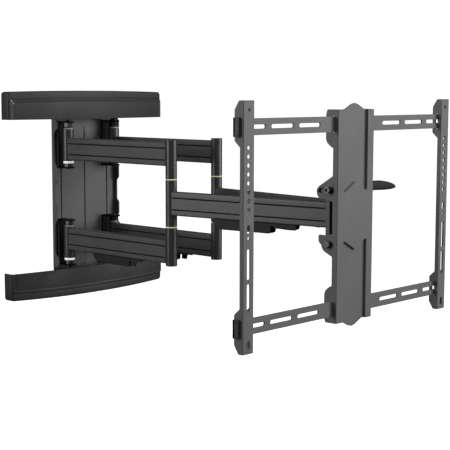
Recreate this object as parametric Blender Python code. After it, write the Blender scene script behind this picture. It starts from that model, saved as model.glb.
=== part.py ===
"""Full motion TV wall mount: twin articulated arms, wall plate, tilting head and TV plate.

Frame: metres, +Z up, +X to the right, +Y into the wall.  The origin is on the
back face of the wall plate, half way up, so the wall is the plane Y = 0 and the
mount stands out along -Y.  The arms are modelled straight out, as at full reach.
"""
import math

import bpy
import bmesh
from mathutils import Matrix, Vector

MM = 0.001
GAP = 0.3 * MM                 # working gap between touching pieces

# ---- linkage, in plan -------------------------------------------------------
ARM_X = 68.0 * MM              # half spacing of the wall hinges and of the elbows
WALL_HINGE_Y = -33.0 * MM
ELBOW_Y = -363.5 * MM
HEAD_X = 18.0 * MM             # half spacing of the two head pivots
HEAD_Y = -744.0 * MM
ARM_Z = 101.5 * MM             # mid height of the rear (wall) arms, up and down
ARM_T = 20.0 * MM              # arm bar thickness
ARM_H = 49.0 * MM              # arm bar height

# ---- hinge tubes ------------------------------------------------------------
POST_R = 12.0 * MM
POST_TOP = 131.0 * MM
POST_SPLIT = 49.5 * MM         # height of the elbow washers
ELBOW_PIN_R = 6.0 * MM
KNUCKLE_R = 12.5 * MM
KNUCKLE_Z = (71.0 * MM, 145.0 * MM)
HINGE_PIN_R = 5.0 * MM
HEAD_TUBE_R = 11.0 * MM
HEAD_PIN_R = 4.6 * MM
OPEN_PIVOT_R = 8.3 * MM        # bore of the right head pivot, kept loose

# ---- wall side --------------------------------------------------------------
PLATE_T = 3.0 * MM
PLATE_W = 90.0 * MM            # half width of the channel
PLATE_H = 222.0 * MM           # half height
BAR_W = 216.0 * MM             # half width of the stud bars
BRACKET_Z = (58.0 * MM, 163.0 * MM)
BRACKET_W = 13.5 * MM
COVER_W = 226.0 * MM
COVER_Z = (168.3 * MM, 230.0 * MM)
COVER_MID = 48.8 * MM
COVER_END = 24.4 * MM
COVER_T = 2.4 * MM

# ---- TV side ----------------------------------------------------------------
FRONT_Y = -786.0 * MM
SHEET = 2.5 * MM
CENTRE_W = 55.0 * MM
CENTRE_H = 198.5 * MM
RECESS = 5.0 * MM
RECESS_W = 35.0 * MM
UPRIGHT_X = 298.5 * MM
UPRIGHT_W = 13.65 * MM
UPRIGHT_H = 216.0 * MM
RAIL_Z = 171.3 * MM
RAIL_H = 14.4 * MM
RAIL_Y = (-776.6 * MM, -773.1 * MM)
RAIL_END = 316.8 * MM
TILT_Y = -766.5 * MM
TILT_Z = 50.5 * MM
TILT_SWING = (-3.2, 12.2)      # degrees the lock bolt can travel in the upper ear
LEVER_X = 66.0 * MM            # cam pivot of the tilt lever

HEX = 6
ROUND, SMALL = 24, 16          # sides of a tube, and of a pin or bore


# ---- scene and material helpers ---------------------------------------------
for old in list(bpy.data.objects):
    bpy.data.objects.remove(old, do_unlink=True)


def material(name, rgb, rough, metal):
    m = bpy.data.materials.new(name)
    m.use_nodes = True
    b = m.node_tree.nodes["Principled BSDF"]
    b.inputs["Base Color"].default_value = (*rgb, 1.0)
    b.inputs["Roughness"].default_value = rough
    b.inputs["Metallic"].default_value = metal
    m.diffuse_color = (*rgb, 1.0)
    return m


STEEL = material("powder_coated_steel", (0.105, 0.105, 0.105), 0.55, 0.0)
DARK = material("satin_black_steel", (0.045, 0.045, 0.045), 0.42, 0.0)
ALU = material("black_aluminium", (0.060, 0.060, 0.060), 0.45, 0.0)
PLASTIC = material("black_plastic", (0.040, 0.040, 0.040), 0.50, 0.0)
NYLON = material("white_nylon", (0.80, 0.80, 0.76), 0.45, 0.0)
YELLOW = material("yellow_washer", (0.70, 0.66, 0.25), 0.45, 0.0)
ZINC = material("bright_pin", (0.35, 0.35, 0.36), 0.35, 1.0)


# ---- mesh helpers -----------------------------------------------------------
def bm_prism(pts, axis, lo, hi):
    """Closed prism of a 2-D outline; axis 'X' takes (y, z), 'Y' (x, z), 'Z' (x, y)."""
    bm = bmesh.new()

    def at(p, t):
        if axis == "X":
            return (t, p[0], p[1])
        if axis == "Y":
            return (p[0], t, p[1])
        return (p[0], p[1], t)

    a = [bm.verts.new(at(p, lo)) for p in pts]
    b = [bm.verts.new(at(p, hi)) for p in pts]
    n = len(pts)
    bm.faces.new(a)
    bm.faces.new(b)
    for i in range(n):
        j = (i + 1) % n
        bm.faces.new((a[i], a[j], b[j], b[i]))
    bmesh.ops.recalc_face_normals(bm, faces=bm.faces)
    return bm


def bm_tube(x, y, z0, z1, r, n=ROUND, hole=0.0, chamfer=0.0):
    """Upright round bar at (x, y), or a tube when hole is given."""
    prof = [(r - chamfer, z0), (r, z0 + chamfer), (r, z1 - chamfer), (r - chamfer, z1)]
    if chamfer <= 0:
        prof = [(r, z0), (r, z1)]
    if hole > 0:
        prof = prof + [(hole, z1), (hole, z0)]
    bm = bmesh.new()
    rings = []
    for k in range(n):
        t = 2 * math.pi * (k + 0.5) / n
        rings.append([bm.verts.new((x + p[0] * math.cos(t), y + p[0] * math.sin(t), p[1]))
                      for p in prof])
    m = len(prof)
    for k in range(n):
        a, b = rings[k], rings[(k + 1) % n]
        for i in range(m if hole > 0 else m - 1):
            j = (i + 1) % m
            bm.faces.new((a[i], b[i], b[j], a[j]))
    if hole <= 0:
        bm.faces.new([r_[0] for r_ in rings])
        bm.faces.new([r_[-1] for r_ in rings])
    bmesh.ops.recalc_face_normals(bm, faces=bm.faces)
    return bm


def bm_cross_bar(y, z, x0, x1, r, n=SMALL):
    """Round bar along X at (y, z)."""
    bm = bm_tube(0, 0, x0, x1, r, n)
    m = Matrix(((0, 0, 1, 0), (1, 0, 0, y), (0, 1, 0, z), (0, 0, 0, 1)))
    bmesh.ops.transform(bm, matrix=m, verts=bm.verts)
    return bm


def box(x0, x1, y0, y1, z0, z1):
    return bm_prism([(x0, y0), (x1, y0), (x1, y1), (x0, y1)], "Z", z0, z1)


def soften(pts, r, n=3):
    """Round every corner of a closed outline with radius r (or one radius each)."""
    out = []
    m = len(pts)
    for i in range(m):
        p = Vector(pts[i])
        a, b = Vector(pts[i - 1]) - p, Vector(pts[(i + 1) % m]) - p
        ri = r[i] if isinstance(r, (list, tuple)) else r
        ang = a.angle(b)
        if ri <= 0 or ang > math.radians(178):
            out.append((p.x, p.y))
            continue
        cut = min(ri / math.tan(ang / 2), 0.48 * a.length, 0.48 * b.length)
        s, e = p + a.normalized() * cut, p + b.normalized() * cut
        for k in range(n + 1):
            t = k / n
            q = s * (1 - t) ** 2 + p * (2 * t * (1 - t)) + e * t ** 2
            out.append((q.x, q.y))
    return out


def slot_outline(cx, cz, length, height, n=4):
    """Obround slot; length along the first axis (or along the second if taller)."""
    out = []
    if length >= height:
        r, h = height / 2, (length - height) / 2
        for s, a0 in ((1, -90), (-1, 90)):
            for k in range(n + 1):
                a = math.radians(a0 + 180 * k / n)
                out.append((cx + s * h + r * math.cos(a), cz + r * math.sin(a)))
    else:
        r, h = length / 2, (height - length) / 2
        for s, a0 in ((1, 0), (-1, 180)):
            for k in range(n + 1):
                a = math.radians(a0 + 180 * k / n)
                out.append((cx + r * math.cos(a), cz + s * h + r * math.sin(a)))
    clean = []
    for p in out:
        if not clean or math.dist(p, clean[-1]) > 1e-6:
            clean.append(p)
    if math.dist(clean[0], clean[-1]) < 1e-6:
        clean.pop()
    return clean


def ring_outline(cx, cy, r, n=16, start=0.0):
    return [(cx + r * math.cos(start + 2 * math.pi * k / n),
             cy + r * math.sin(start + 2 * math.pi * k / n)) for k in range(n)]


def raw_object(name, bm):
    me = bpy.data.meshes.new(name)
    bm.to_mesh(me)
    bm.free()
    ob = bpy.data.objects.new(name, me)
    bpy.context.collection.objects.link(ob)
    return ob


def build(name, base, mat, add=(), cut=(), at=None, turn=0.0, mirror=(1, 1), smooth=True):
    """Join and cut raw solids into one named piece.

    at and turn give the piece its own origin on a joint axis: the geometry is
    written in that local frame and the object is placed by location and rotation.
    """
    ob = raw_object(name, base)
    tools = []
    for op, group in (("UNION", add), ("DIFFERENCE", cut)):
        for bm in group:
            tool = raw_object("cutter", bm)
            tool.hide_render = True
            tool.display_type = "WIRE"
            tools.append(tool)
            mod = ob.modifiers.new(op.lower(), "BOOLEAN")
            mod.operation = op
            mod.object = tool
            mod.solver = "EXACT"
    bpy.context.view_layer.update()
    dg = bpy.context.evaluated_depsgraph_get()
    me = bpy.data.meshes.new_from_object(ob.evaluated_get(dg))
    ob.modifiers.clear()
    ob.data = me
    for tool in tools:
        bpy.data.objects.remove(tool, do_unlink=True)
    sx, sz = mirror
    bm = bmesh.new()
    bm.from_mesh(me)
    bmesh.ops.remove_doubles(bm, verts=bm.verts, dist=1e-6)
    bmesh.ops.dissolve_degenerate(bm, edges=bm.edges, dist=1e-7)
    if sx < 0 or sz < 0:
        bmesh.ops.transform(bm, matrix=Matrix.Diagonal((sx, 1, sz, 1)), verts=bm.verts)
        if sx * sz < 0:
            bmesh.ops.reverse_faces(bm, faces=bm.faces)
    if at is not None:
        place = Matrix.Translation(Vector(at)) @ Matrix.Rotation(turn, 4, "Z")
        bmesh.ops.transform(bm, matrix=place.inverted(), verts=bm.verts)
    bm.to_mesh(me)
    bm.free()
    if at is not None:
        ob.location = Vector(at)
        ob.rotation_euler = (0, 0, turn)
    me.materials.clear()
    me.materials.append(mat)
    if smooth:
        me.shade_smooth()
        me.set_sharp_from_angle(angle=math.radians(35))
    return ob


# ---- shared outlines --------------------------------------------------------
def arm_section(z_mid):
    """Arm bar section (x, z): rounded long edges and two coves on each face."""
    t, h = ARM_T / 2, ARM_H / 2
    right = [(t - 3.4 * MM, -h), (t - 1.2 * MM, -h + 0.9 * MM), (t, -h + 3.6 * MM)]
    for zc in (-12.2 * MM, 12.2 * MM):
        right += [(t, zc - 1.5 * MM), (t - 1.3 * MM, zc - 0.4 * MM),
                  (t - 1.3 * MM, zc + 0.4 * MM), (t, zc + 1.5 * MM)]
    right += [(t, h - 3.6 * MM), (t - 1.2 * MM, h - 0.9 * MM), (t - 3.4 * MM, h)]
    left = [(-x, z) for x, z in reversed(right)]
    return [(x, z + z_mid) for x, z in right + left]


def arm_hollow(z_mid):
    """Inner chamber of the arm bar, open at both ends."""
    t, h = ARM_T / 2 - 3.4 * MM, ARM_H / 2 - 3.4 * MM
    return [(x, z + z_mid) for x, z in soften([(-t, -h), (t, -h), (t, h), (-t, h)], 2 * MM, 2)]


# =============================================================================
# Wall plate, one pressing: channel with wide stud bars at the top and bottom
# =============================================================================
def wall_plate():
    w, h, b, z1 = PLATE_W - 1.0 * MM, PLATE_H, BAR_W, 184.0 * MM
    outline = [(-b, z1), (-w, z1), (-w, -z1), (-b, -z1), (-b, -h), (b, -h), (b, -z1),
               (w, -z1), (w, z1), (b, z1), (b, h), (-b, h)]
    r = [6 * MM, 3 * MM, 3 * MM, 6 * MM, 9 * MM, 9 * MM, 6 * MM, 3 * MM, 3 * MM, 6 * MM,
         9 * MM, 9 * MM]
    base = bm_prism(soften(outline, r), "Y", -PLATE_T, 0.0)
    # side flange, cut shallow where the hinge brackets show and the arms fold past
    half = [(0, 29), (52, 29), (58, 24), (63, 16), (71, 9), (78, 8), (131, 8), (139, 9.5),
            (147, 15), (162, 15), (168, 13)]
    prof = [(-d * MM, z * MM) for z, d in half]
    prof = [(y, -z) for y, z in reversed(prof[1:])] + prof
    flange = [(-0.4 * MM, -168 * MM)] + prof + [(-0.4 * MM, 168 * MM)]
    rr = [0] + [5 * MM] * len(prof) + [0]
    flange = soften(flange, rr, 3)
    adds = [bm_prism(flange, "X", s * PLATE_W - (PLATE_T if s > 0 else 0),
                     s * PLATE_W + (0 if s > 0 else PLATE_T)) for s in (-1, 1)]
    cuts = []
    for x in (-69.5 * MM, 0.0, 69.5 * MM):              # pressed lines down the panel
        g, d = 1.4 * MM, 0.9 * MM
        cuts.append(bm_prism([(x - g, -PLATE_T - 0.5 * MM), (x + g, -PLATE_T - 0.5 * MM),
                              (x + g, -PLATE_T), (x, -PLATE_T + d), (x - g, -PLATE_T)],
                             "Z", -166 * MM, 166 * MM))
    for sz in (-1, 1):                                   # fixing slots in the stud bars
        for x, ln in ((-184 * MM, 48 * MM), (184 * MM, 48 * MM), (-120 * MM, 26 * MM),
                      (120 * MM, 26 * MM)):
            cuts.append(bm_prism(slot_outline(x, sz * 197 * MM, ln, 9 * MM), "Y", -6 * MM, 3 * MM))
        cuts.append(bm_prism(slot_outline(0, sz * 197 * MM, 9 * MM, 26 * MM), "Y", -6 * MM, 3 * MM))
    build("wall_plate", base, STEEL, adds, cuts)


def cover(name, sz):
    """Bowed snap-on cover: field, step and outer band, open at the back and inner edge."""
    xs = [-1.0, -0.985, -0.955, -0.92, -0.84, -0.72, -0.58, -0.42, -0.22, 0.0]
    xs = xs + [-v for v in reversed(xs[:-1])]
    z0, z1 = COVER_Z

    def front(u):
        return -(COVER_MID - (COVER_MID - COVER_END) * u * u)

    def ring(u, inset, deep):
        x = u * (COVER_W - inset)
        y = front(u) + inset
        e = abs(u)
        end = 1.0 if e > 0.999 else (0.55 if e > 0.98 else (0.12 if e > 0.95 else 0.0))
        pull = end * 6.0 * MM                              # ends ease back like the band
        step = 2.6 * MM
        top = z1 - inset
        rows = [(y + pull, z0 - deep), (y + pull, 205.0 * MM), (y + max(pull, step), 211.5 * MM),
                (y + max(pull, step) + 0.8 * MM, top - 3.5 * MM),
                (y + max(pull, step) + 4.0 * MM, top), (deep - GAP if deep else -GAP, top),
                (deep - GAP if deep else -GAP, z0 - deep)]
        if deep:
            rows[1] = (rows[1][0], 204.0 * MM)
            rows[2] = (rows[2][0], 210.5 * MM)
        return [(x, yy, zz) for yy, zz in rows]

    def loft(inset, deep):
        bm = bmesh.new()
        rings = [[bm.verts.new(p) for p in ring(u, inset, deep)] for u in xs]
        n = len(rings[0])
        for a, b in zip(rings[:-1], rings[1:]):
            for i in range(n):
                j = (i + 1) % n
                bm.faces.new((a[i], a[j], b[j], b[i]))
        bm.faces.new(rings[0])
        bm.faces.new(rings[-1])
        bmesh.ops.recalc_face_normals(bm, faces=bm.faces)
        return bm

    build(name, loft(0.0, 0.0), PLASTIC, (), [loft(COVER_T, 4.0 * MM)], mirror=(1, sz))


def wall_hinge(side, level, tag):
    """One clevis bracket, its pin and two nylon washers."""
    x, y = ARM_X, WALL_HINGE_Y
    z0, z1 = BRACKET_Z
    w = BRACKET_W
    back, web = -PLATE_T - GAP, 3.6 * MM
    lip = [(x - w, back), (x - w, y)]
    for k in range(1, 12):
        a = math.pi + math.pi * k / 12
        lip.append((x + w * math.cos(a), y + w * math.sin(a)))
    lip += [(x + w, y), (x + w, back)]
    k0, k1 = KNUCKLE_Z
    base = box(x - w, x + w, back - web, back, z0, z1)
    adds = [bm_prism(lip, "Z", z0, z0 + 3.6 * MM), bm_prism(lip, "Z", z1 - 3.6 * MM, z1),
            bm_tube(x, y, z0 + 1.0 * MM, k0 - 3.0 * MM, 9.0 * MM, SMALL),
            bm_tube(x, y, k1 + 3.0 * MM, z1 - 1.0 * MM, 9.0 * MM, SMALL)]
    cuts = [bm_tube(x, y, z0 - 5 * MM, z1 + 5 * MM, HINGE_PIN_R + 0.4 * MM, SMALL)]
    build("hinge_bracket_" + tag, base, STEEL, adds, cuts, mirror=(side, level))
    pin = bm_tube(x, y, z0 - 2.4 * MM, z1 + 2.0 * MM, HINGE_PIN_R, SMALL)
    head = bm_tube(x, y, z1 + GAP, z1 + 3.6 * MM, 8.2 * MM, SMALL, chamfer=0.8 * MM)
    build("hinge_pin_" + tag, pin, ZINC, [head], (), mirror=(side, level))
    for nm, a in (("outer", k1), ("inner", k0)):
        lo = a + GAP if nm == "outer" else a - 2.7 * MM
        build("hinge_washer_%s_%s" % (nm, tag),
              bm_tube(x, y, lo, lo + 2.4 * MM, 11.6 * MM, ROUND, hole=HINGE_PIN_R + 0.4 * MM),
              NYLON, mirror=(side, level))


# =============================================================================
# Rear (wall) arms: two bars, two wall knuckles, elbow post halves, pin, cable clip
# =============================================================================
def rear_arm(side, word):
    x = ARM_X
    axis = (side * ARM_X, WALL_HINGE_Y, 0.0)
    y0, y1 = WALL_HINGE_Y - KNUCKLE_R - GAP, ELBOW_Y + POST_R + GAP
    for level, nm in ((1, "upper"), (-1, "lower")):
        sec = [(px + x, pz) for px, pz in arm_section(ARM_Z)]
        hol = [(px + x, pz) for px, pz in arm_hollow(ARM_Z)]
        build("rear_arm_%s_%s" % (nm, word), bm_prism(sec, "Y", y1, y0), ALU, (),
              [bm_prism(hol, "Y", y1 - 5 * MM, y0 + 5 * MM)], at=axis, mirror=(side, level))
        k0, k1 = KNUCKLE_Z
        build("wall_knuckle_%s_%s" % (nm, word),
              bm_tube(x, WALL_HINGE_Y, k0, k1, KNUCKLE_R, ROUND, hole=HINGE_PIN_R + 0.4 * MM,
                      chamfer=0.8 * MM),
              DARK, at=axis, mirror=(side, level))
        blind = bm_tube(x, ELBOW_Y, POST_SPLIT - 5 * MM, POST_TOP - 5 * MM,
                        ELBOW_PIN_R + 0.4 * MM, SMALL)
        build("elbow_post_%s_%s" % (nm, word),
              bm_tube(x, ELBOW_Y, POST_SPLIT + 1.3 * MM, POST_TOP, POST_R, ROUND, chamfer=0.8 * MM),
              DARK, (), [blind], at=axis, mirror=(side, level))
        build("elbow_washer_%s_%s" % (nm, word),
              bm_tube(x, ELBOW_Y, POST_SPLIT - 1.0 * MM, POST_SPLIT + 1.0 * MM, POST_R + 0.1 * MM,
                      ROUND, hole=ELBOW_PIN_R + 0.4 * MM),
              YELLOW, at=axis, mirror=(side, level))
    build("elbow_pin_" + word,
          bm_tube(x, ELBOW_Y, -POST_TOP + 5.4 * MM, POST_TOP - 5.4 * MM, ELBOW_PIN_R, SMALL,
                  chamfer=0.6 * MM),
          ZINC, at=axis, mirror=(side, 1))
    # side outline: distance from the wall and depth below the bar
    hung = [(-125.0, 0.0), (-125.0, 6.3), (-128.5, 6.8), (-134.0, 12.6), (-137.5, 13.4),
            (-140.0, 18.0), (-238.5, 18.0), (-241.5, 16.6), (-243.0, 13.5), (-243.5, 4.8),
            (-249.0, 4.8), (-249.0, 15.0), (-263.5, 15.0), (-266.5, 4.8), (-282.0, 4.8),
            (-282.0, 0.0)]
    clip("rear_cable_clip_" + word, x, -ARM_Z - ARM_H / 2 - GAP, -125.0 * MM, hung, 18.0 * MM,
         side, axis)


def clip(name, x, top, ya, hung, deep, side, at=None):
    """Cable trough hung under an arm, cut from its side outline.

    The channel is open along its inner side, so a cable is pushed in from there.
    """
    t, w = 2.2 * MM, ARM_T / 2
    pts = [(y * MM, top - d * MM) for y, d in hung]
    base = bm_prism(pts, "X", x - w, x + w)
    slot = box(x - w - 3 * MM, x + w - t, pts[-1][0] - 5 * MM, ya + 5 * MM, top - deep + t,
               top - t)
    return build(name, base, PLASTIC, (), [slot], at=at, mirror=(side, 1))


# =============================================================================
# Front arms: one bar each, with the elbow sleeve and the head sleeve
# =============================================================================
def front_arm(side, word):
    dx, dy = HEAD_X - ARM_X, HEAD_Y - ELBOW_Y
    length = math.hypot(dx, dy)
    turn = math.atan2(dx, -dy)                 # swing from straight out, towards the middle
    at = (side * ARM_X, ELBOW_Y, 0.0)

    def place(ob):
        ob.location = Vector(at)
        ob.rotation_euler = (0, 0, side * turn)

    sec = arm_section(0.0)
    hol = arm_hollow(0.0)
    ya, yb = -POST_R - GAP, -(length - 6.0 * MM)
    bore = HEAD_PIN_R + 0.4 * MM if side < 0 else OPEN_PIVOT_R
    place(build("front_arm_" + word, bm_prism(sec, "Y", yb, ya), ALU,
                [bm_tube(0, -length, -26.3 * MM, 26.3 * MM, HEAD_TUBE_R, ROUND, chamfer=0.6 * MM)],
                [bm_prism(hol, "Y", -(length - HEAD_TUBE_R - 6 * MM), ya + 5 * MM),
                 bm_tube(0, -length, -40 * MM, 40 * MM, bore, SMALL)], mirror=(side, 1)))
    place(build("elbow_sleeve_" + word,
                bm_tube(0, 0, -POST_SPLIT + 1.3 * MM, POST_SPLIT - 1.3 * MM, POST_R, ROUND,
                        hole=ELBOW_PIN_R + 0.4 * MM, chamfer=0.8 * MM), DARK, mirror=(side, 1)))
    # side outline: distance from the elbow and depth below the bar
    hung = [(-113.0, 0.0), (-113.0, 7.0), (-116.5, 7.5), (-122.0, 14.0), (-125.5, 15.0),
            (-128.0, 20.0), (-246.0, 20.0), (-250.5, 18.2), (-252.5, 14.0), (-252.5, 4.8),
            (-260.0, 4.8), (-260.0, 8.8), (-266.0, 8.8), (-268.0, 7.2), (-297.0, 7.2),
            (-299.0, 9.8), (-310.0, 9.8), (-310.0, 0.0)]
    place(clip("front_cable_clip_" + word, 0.0, -ARM_H / 2 - GAP, -113.0 * MM, hung, 20.0 * MM,
               side))


# =============================================================================
# Head: yoke with both head pivots, tilt bolts and the tilt lever
# =============================================================================
def head():
    yw0, yw1 = -760.5 * MM, -757.5 * MM
    base = box(-48.5 * MM, 48.5 * MM, yw0, yw1, -64 * MM, 64 * MM)
    adds = []
    side = [(-764.0, -60), (-754.5, -60), (-754.5, 60), (-764.0, 60)]
    for s in (-1, 1):
        x0, x1 = (46.5 * MM, 50.0 * MM) if s > 0 else (-50.0 * MM, -46.5 * MM)
        adds.append(bm_prism([(a * MM, b * MM) for a, b in side], "X", x0, x1))
        for z in (-TILT_Z, TILT_Z):
            adds.append(bm_cross_bar(TILT_Y, z, x0, x1, 9.5 * MM, SMALL))
        for z0, z1 in ((27.0 * MM, 62.0 * MM), (-62.0 * MM, -27.0 * MM)):
            adds.append(bm_tube(s * HEAD_X, HEAD_Y, z0, z1, HEAD_TUBE_R, ROUND))
        # rear lobe of the ear, behind the tilt slot
        adds.append(bm_prism([(-766.0 * MM, 42.0 * MM), (-747.0 * MM, 40.8 * MM),
                              (-741.5 * MM, 42.4 * MM), (-738.6 * MM, 47.0 * MM),
                              (-739.6 * MM, 52.0 * MM), (-744.0 * MM, 55.2 * MM),
                              (-766.0 * MM, 59.0 * MM)], "X", x0, x1))
    for z0, z1 in ((29.0 * MM, 60.0 * MM), (-60.0 * MM, -29.0 * MM)):
        adds.append(box(-26 * MM, 26 * MM, yw1 - 1.0 * MM, HEAD_Y - 3 * MM, z0, z1))
    cuts = [bm_tube(s * HEAD_X, HEAD_Y, -70 * MM, 70 * MM, HEAD_PIN_R + 0.4 * MM, SMALL)
            for s in (-1, 1)]
    for z in (-TILT_Z, TILT_Z):
        cuts.append(bm_cross_bar(TILT_Y, z, -60 * MM, 60 * MM, 4.4 * MM, SMALL))
    build("yoke", base, STEEL, adds, cuts)
    for s, word in ((-1, "left"), (1, "right")):
        build("head_pin_" + word,
              bm_tube(s * HEAD_X, HEAD_Y, -64.5 * MM, 62.5 * MM, HEAD_PIN_R, SMALL), ZINC,
              [bm_tube(s * HEAD_X, HEAD_Y, 62.0 * MM + GAP, 65.5 * MM, 8.0 * MM, SMALL,
                       chamfer=0.7 * MM)])

    def hexagon(z, x0, x1, r):
        return bm_prism(ring_outline(TILT_Y, z, r, HEX, math.radians(30)), "X", x0, x1)

    build("tilt_pivot_bolt", bm_cross_bar(TILT_Y, -TILT_Z, -58.5 * MM, 61.0 * MM, 4.0 * MM, SMALL),
          ZINC, [hexagon(-TILT_Z, -62.5 * MM, -55.6 * MM, 7.4 * MM),
                 hexagon(-TILT_Z, 55.6 * MM, 61.6 * MM, 7.4 * MM)])
    # the lock bolt ends in an upright trunnion for the cam lever
    build("tilt_lock_bolt", bm_cross_bar(TILT_Y, TILT_Z, -58.5 * MM, LEVER_X, 4.0 * MM, SMALL),
          ZINC, [bm_cross_bar(TILT_Y, TILT_Z, -63.0 * MM, -55.6 * MM, 8.6 * MM, SMALL),
                 bm_tube(LEVER_X, TILT_Y, TILT_Z - 8.6 * MM, TILT_Z + 8.6 * MM, 3.0 * MM, SMALL)])


def tilt_lever():
    """Cam lever on the end of the lock bolt: forked hub and a flat tongue to the right."""
    x, z = LEVER_X, TILT_Z
    hub = bm_tube(x, TILT_Y, z - 9.2 * MM, z + 9.2 * MM, 9.4 * MM, ROUND)
    pts = [(66, 59.0), (84, 60.8), (112, 58.6), (134, 55.2), (147, 51.0), (154.5, 46.8),
           (155.5, 44.2), (152, 42.0), (138, 40.6), (118, 40.4), (92, 41.4), (66, 41.7)]
    tongue = bm_prism([(a * MM, b * MM) for a, b in pts], "Y", TILT_Y - 3.6 * MM,
                      TILT_Y + 3.6 * MM)
    build("tilt_lever", hub, PLASTIC, [tongue],
          [bm_tube(x, TILT_Y, z - 20 * MM, z + 20 * MM, 3.3 * MM, SMALL),
           box(x - 20 * MM, x + 4.6 * MM, TILT_Y - 4.6 * MM, TILT_Y + 20 * MM,
               z - 4.6 * MM, z + 4.6 * MM)], at=(x, TILT_Y, z))


# =============================================================================
# TV plate: centre plate, two rails, two uprights, end caps
# =============================================================================
def arc_slot():
    """Slot for the lock bolt in the upper ear: an arc about the tilt pivot."""
    r, cy, cz = 2 * TILT_Z, TILT_Y, -TILT_Z
    out, n, half = [], 8, 4.5 * MM
    a0, a1 = math.radians(TILT_SWING[0]), math.radians(TILT_SWING[1])
    for k in range(n + 1):
        a = a0 + (a1 - a0) * k / n
        out.append((cy + (r + half) * math.sin(a), cz + (r + half) * math.cos(a)))
    ey, ez = cy + r * math.sin(a1), cz + r * math.cos(a1)
    for k in range(1, 6):
        b = math.radians(90 - 180 * k / 6) - a1
        out.append((ey + half * math.cos(b), ez + half * math.sin(b)))
    for k in range(n + 1):
        a = a1 + (a0 - a1) * k / n
        out.append((cy + (r - half) * math.sin(a), cz + (r - half) * math.cos(a)))
    sy, sz = cy + r * math.sin(a0), cz + r * math.cos(a0)
    for k in range(1, 6):
        b = math.radians(-90 - 180 * k / 6) - a0
        out.append((sy + half * math.cos(b), sz + half * math.sin(b)))
    return out


def centre_plate():
    f, t, w, h = FRONT_Y, SHEET, CENTRE_W, CENTRE_H
    base = box(-w, w, f, f + t, -h, h)
    rw, peak, foot = RECESS_W, 65.3 * MM, 46.0 * MM
    upper = [(-rw, foot), (0, peak), (rw, foot), (rw, h + 20 * MM), (-rw, h + 20 * MM)]
    up_out = [(-rw - t, foot - 3.2 * MM), (0, peak - 3.2 * MM), (rw + t, foot - 3.2 * MM),
              (rw + t, h - 0.4 * MM), (-rw - t, h - 0.4 * MM)]
    tab = [(-rw - 1.0 * MM, 150 * MM), (rw + 1.0 * MM, 150 * MM), (rw + 1.0 * MM, h),
           (rw - 3 * MM, h + 0.2 * MM), (9 * MM, h + 9.6 * MM), (0, h + 10.9 * MM),
           (-9 * MM, h + 9.6 * MM), (-rw + 3 * MM, h + 0.2 * MM), (-rw - 1.0 * MM, h)]

    def flip(p):
        return [(a, -b) for a, b in p]

    adds, cuts = [], []
    for fn in (lambda p: p, flip):
        adds.append(bm_prism(fn(up_out), "Y", f + 0.6 * MM, f + RECESS + t))
        adds.append(bm_prism(fn(tab), "Y", f + RECESS + 0.05 * MM, f + RECESS + t - 0.05 * MM))
        cuts.append(bm_prism(fn(upper), "Y", f - 5 * MM, f + RECESS))
    # side flanges with rail ears at both ends and the tilt ears in the middle
    fl, ear = f + 12.0 * MM, -757.0 * MM
    edge = [(fl, 128.0), (-769.5 * MM, 129.5), (-763.5 * MM, 134.0), (-759.0 * MM, 138.5),
            (ear, 145.0), (ear, 190.0), (-760 * MM, 198.5)]
    up_ear = [(fl, 28.5), (-762 * MM, 31.5), (-748.5 * MM, 32.5), (-741.5 * MM, 35.0),
              (-737.5 * MM, 40.5), (-736.3 * MM, 47.0), (-738.5 * MM, 53.0), (-743 * MM, 57.0),
              (fl, 76.5)]
    low_ear = [(fl, 73.5), (-756.5 * MM, 65.5), (-752 * MM, 61.5), (-749.6 * MM, 57.5),
               (-748.8 * MM, 53.5), (-744 * MM, 49.5), (-742.2 * MM, 46.0), (-742.0 * MM, 36.0),
               (-744.5 * MM, 34.2), (-757 * MM, 34.2), (fl, 31.5)]
    prof = [(f + 0.5 * MM, h)] + [(y, z * MM) for y, z in reversed(edge)]
    prof += [(y, z * MM) for y, z in reversed(up_ear)]
    prof += [(y, -z * MM) for y, z in reversed(low_ear)]
    prof += [(y, -z * MM) for y, z in edge]
    prof += [(f + 0.5 * MM, -h)]
    for s in (-1, 1):
        x0, x1 = (w - t, w) if s > 0 else (-w, -w + t)
        adds.append(bm_prism(prof, "X", x0, x1))
    for z in (-RAIL_Z, RAIL_Z):
        cuts.append(box(-70 * MM, 70 * MM, RAIL_Y[0] - 0.5 * MM, RAIL_Y[1] + 0.5 * MM,
                        z - RAIL_H - 0.5 * MM, z + RAIL_H + 0.5 * MM))
    cuts.append(bm_cross_bar(TILT_Y, -TILT_Z, -70 * MM, 70 * MM, 4.4 * MM, SMALL))
    cuts.append(bm_prism(arc_slot(), "X", -70 * MM, 70 * MM))
    build("centre_plate", base, STEEL, adds, cuts)


def rail(name, z):
    y0, y1 = RAIL_Y
    base = box(-RAIL_END, RAIL_END, y0, y1, z - RAIL_H, z + RAIL_H)
    cuts = [bm_prism(slot_outline(s * x * MM, z, 60 * MM, 7.2 * MM), "Y", y0 - 5 * MM, y1 + 5 * MM)
            for s in (-1, 1) for x in (125, 200, 275)]
    build(name, base, STEEL, (), cuts)


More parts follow.
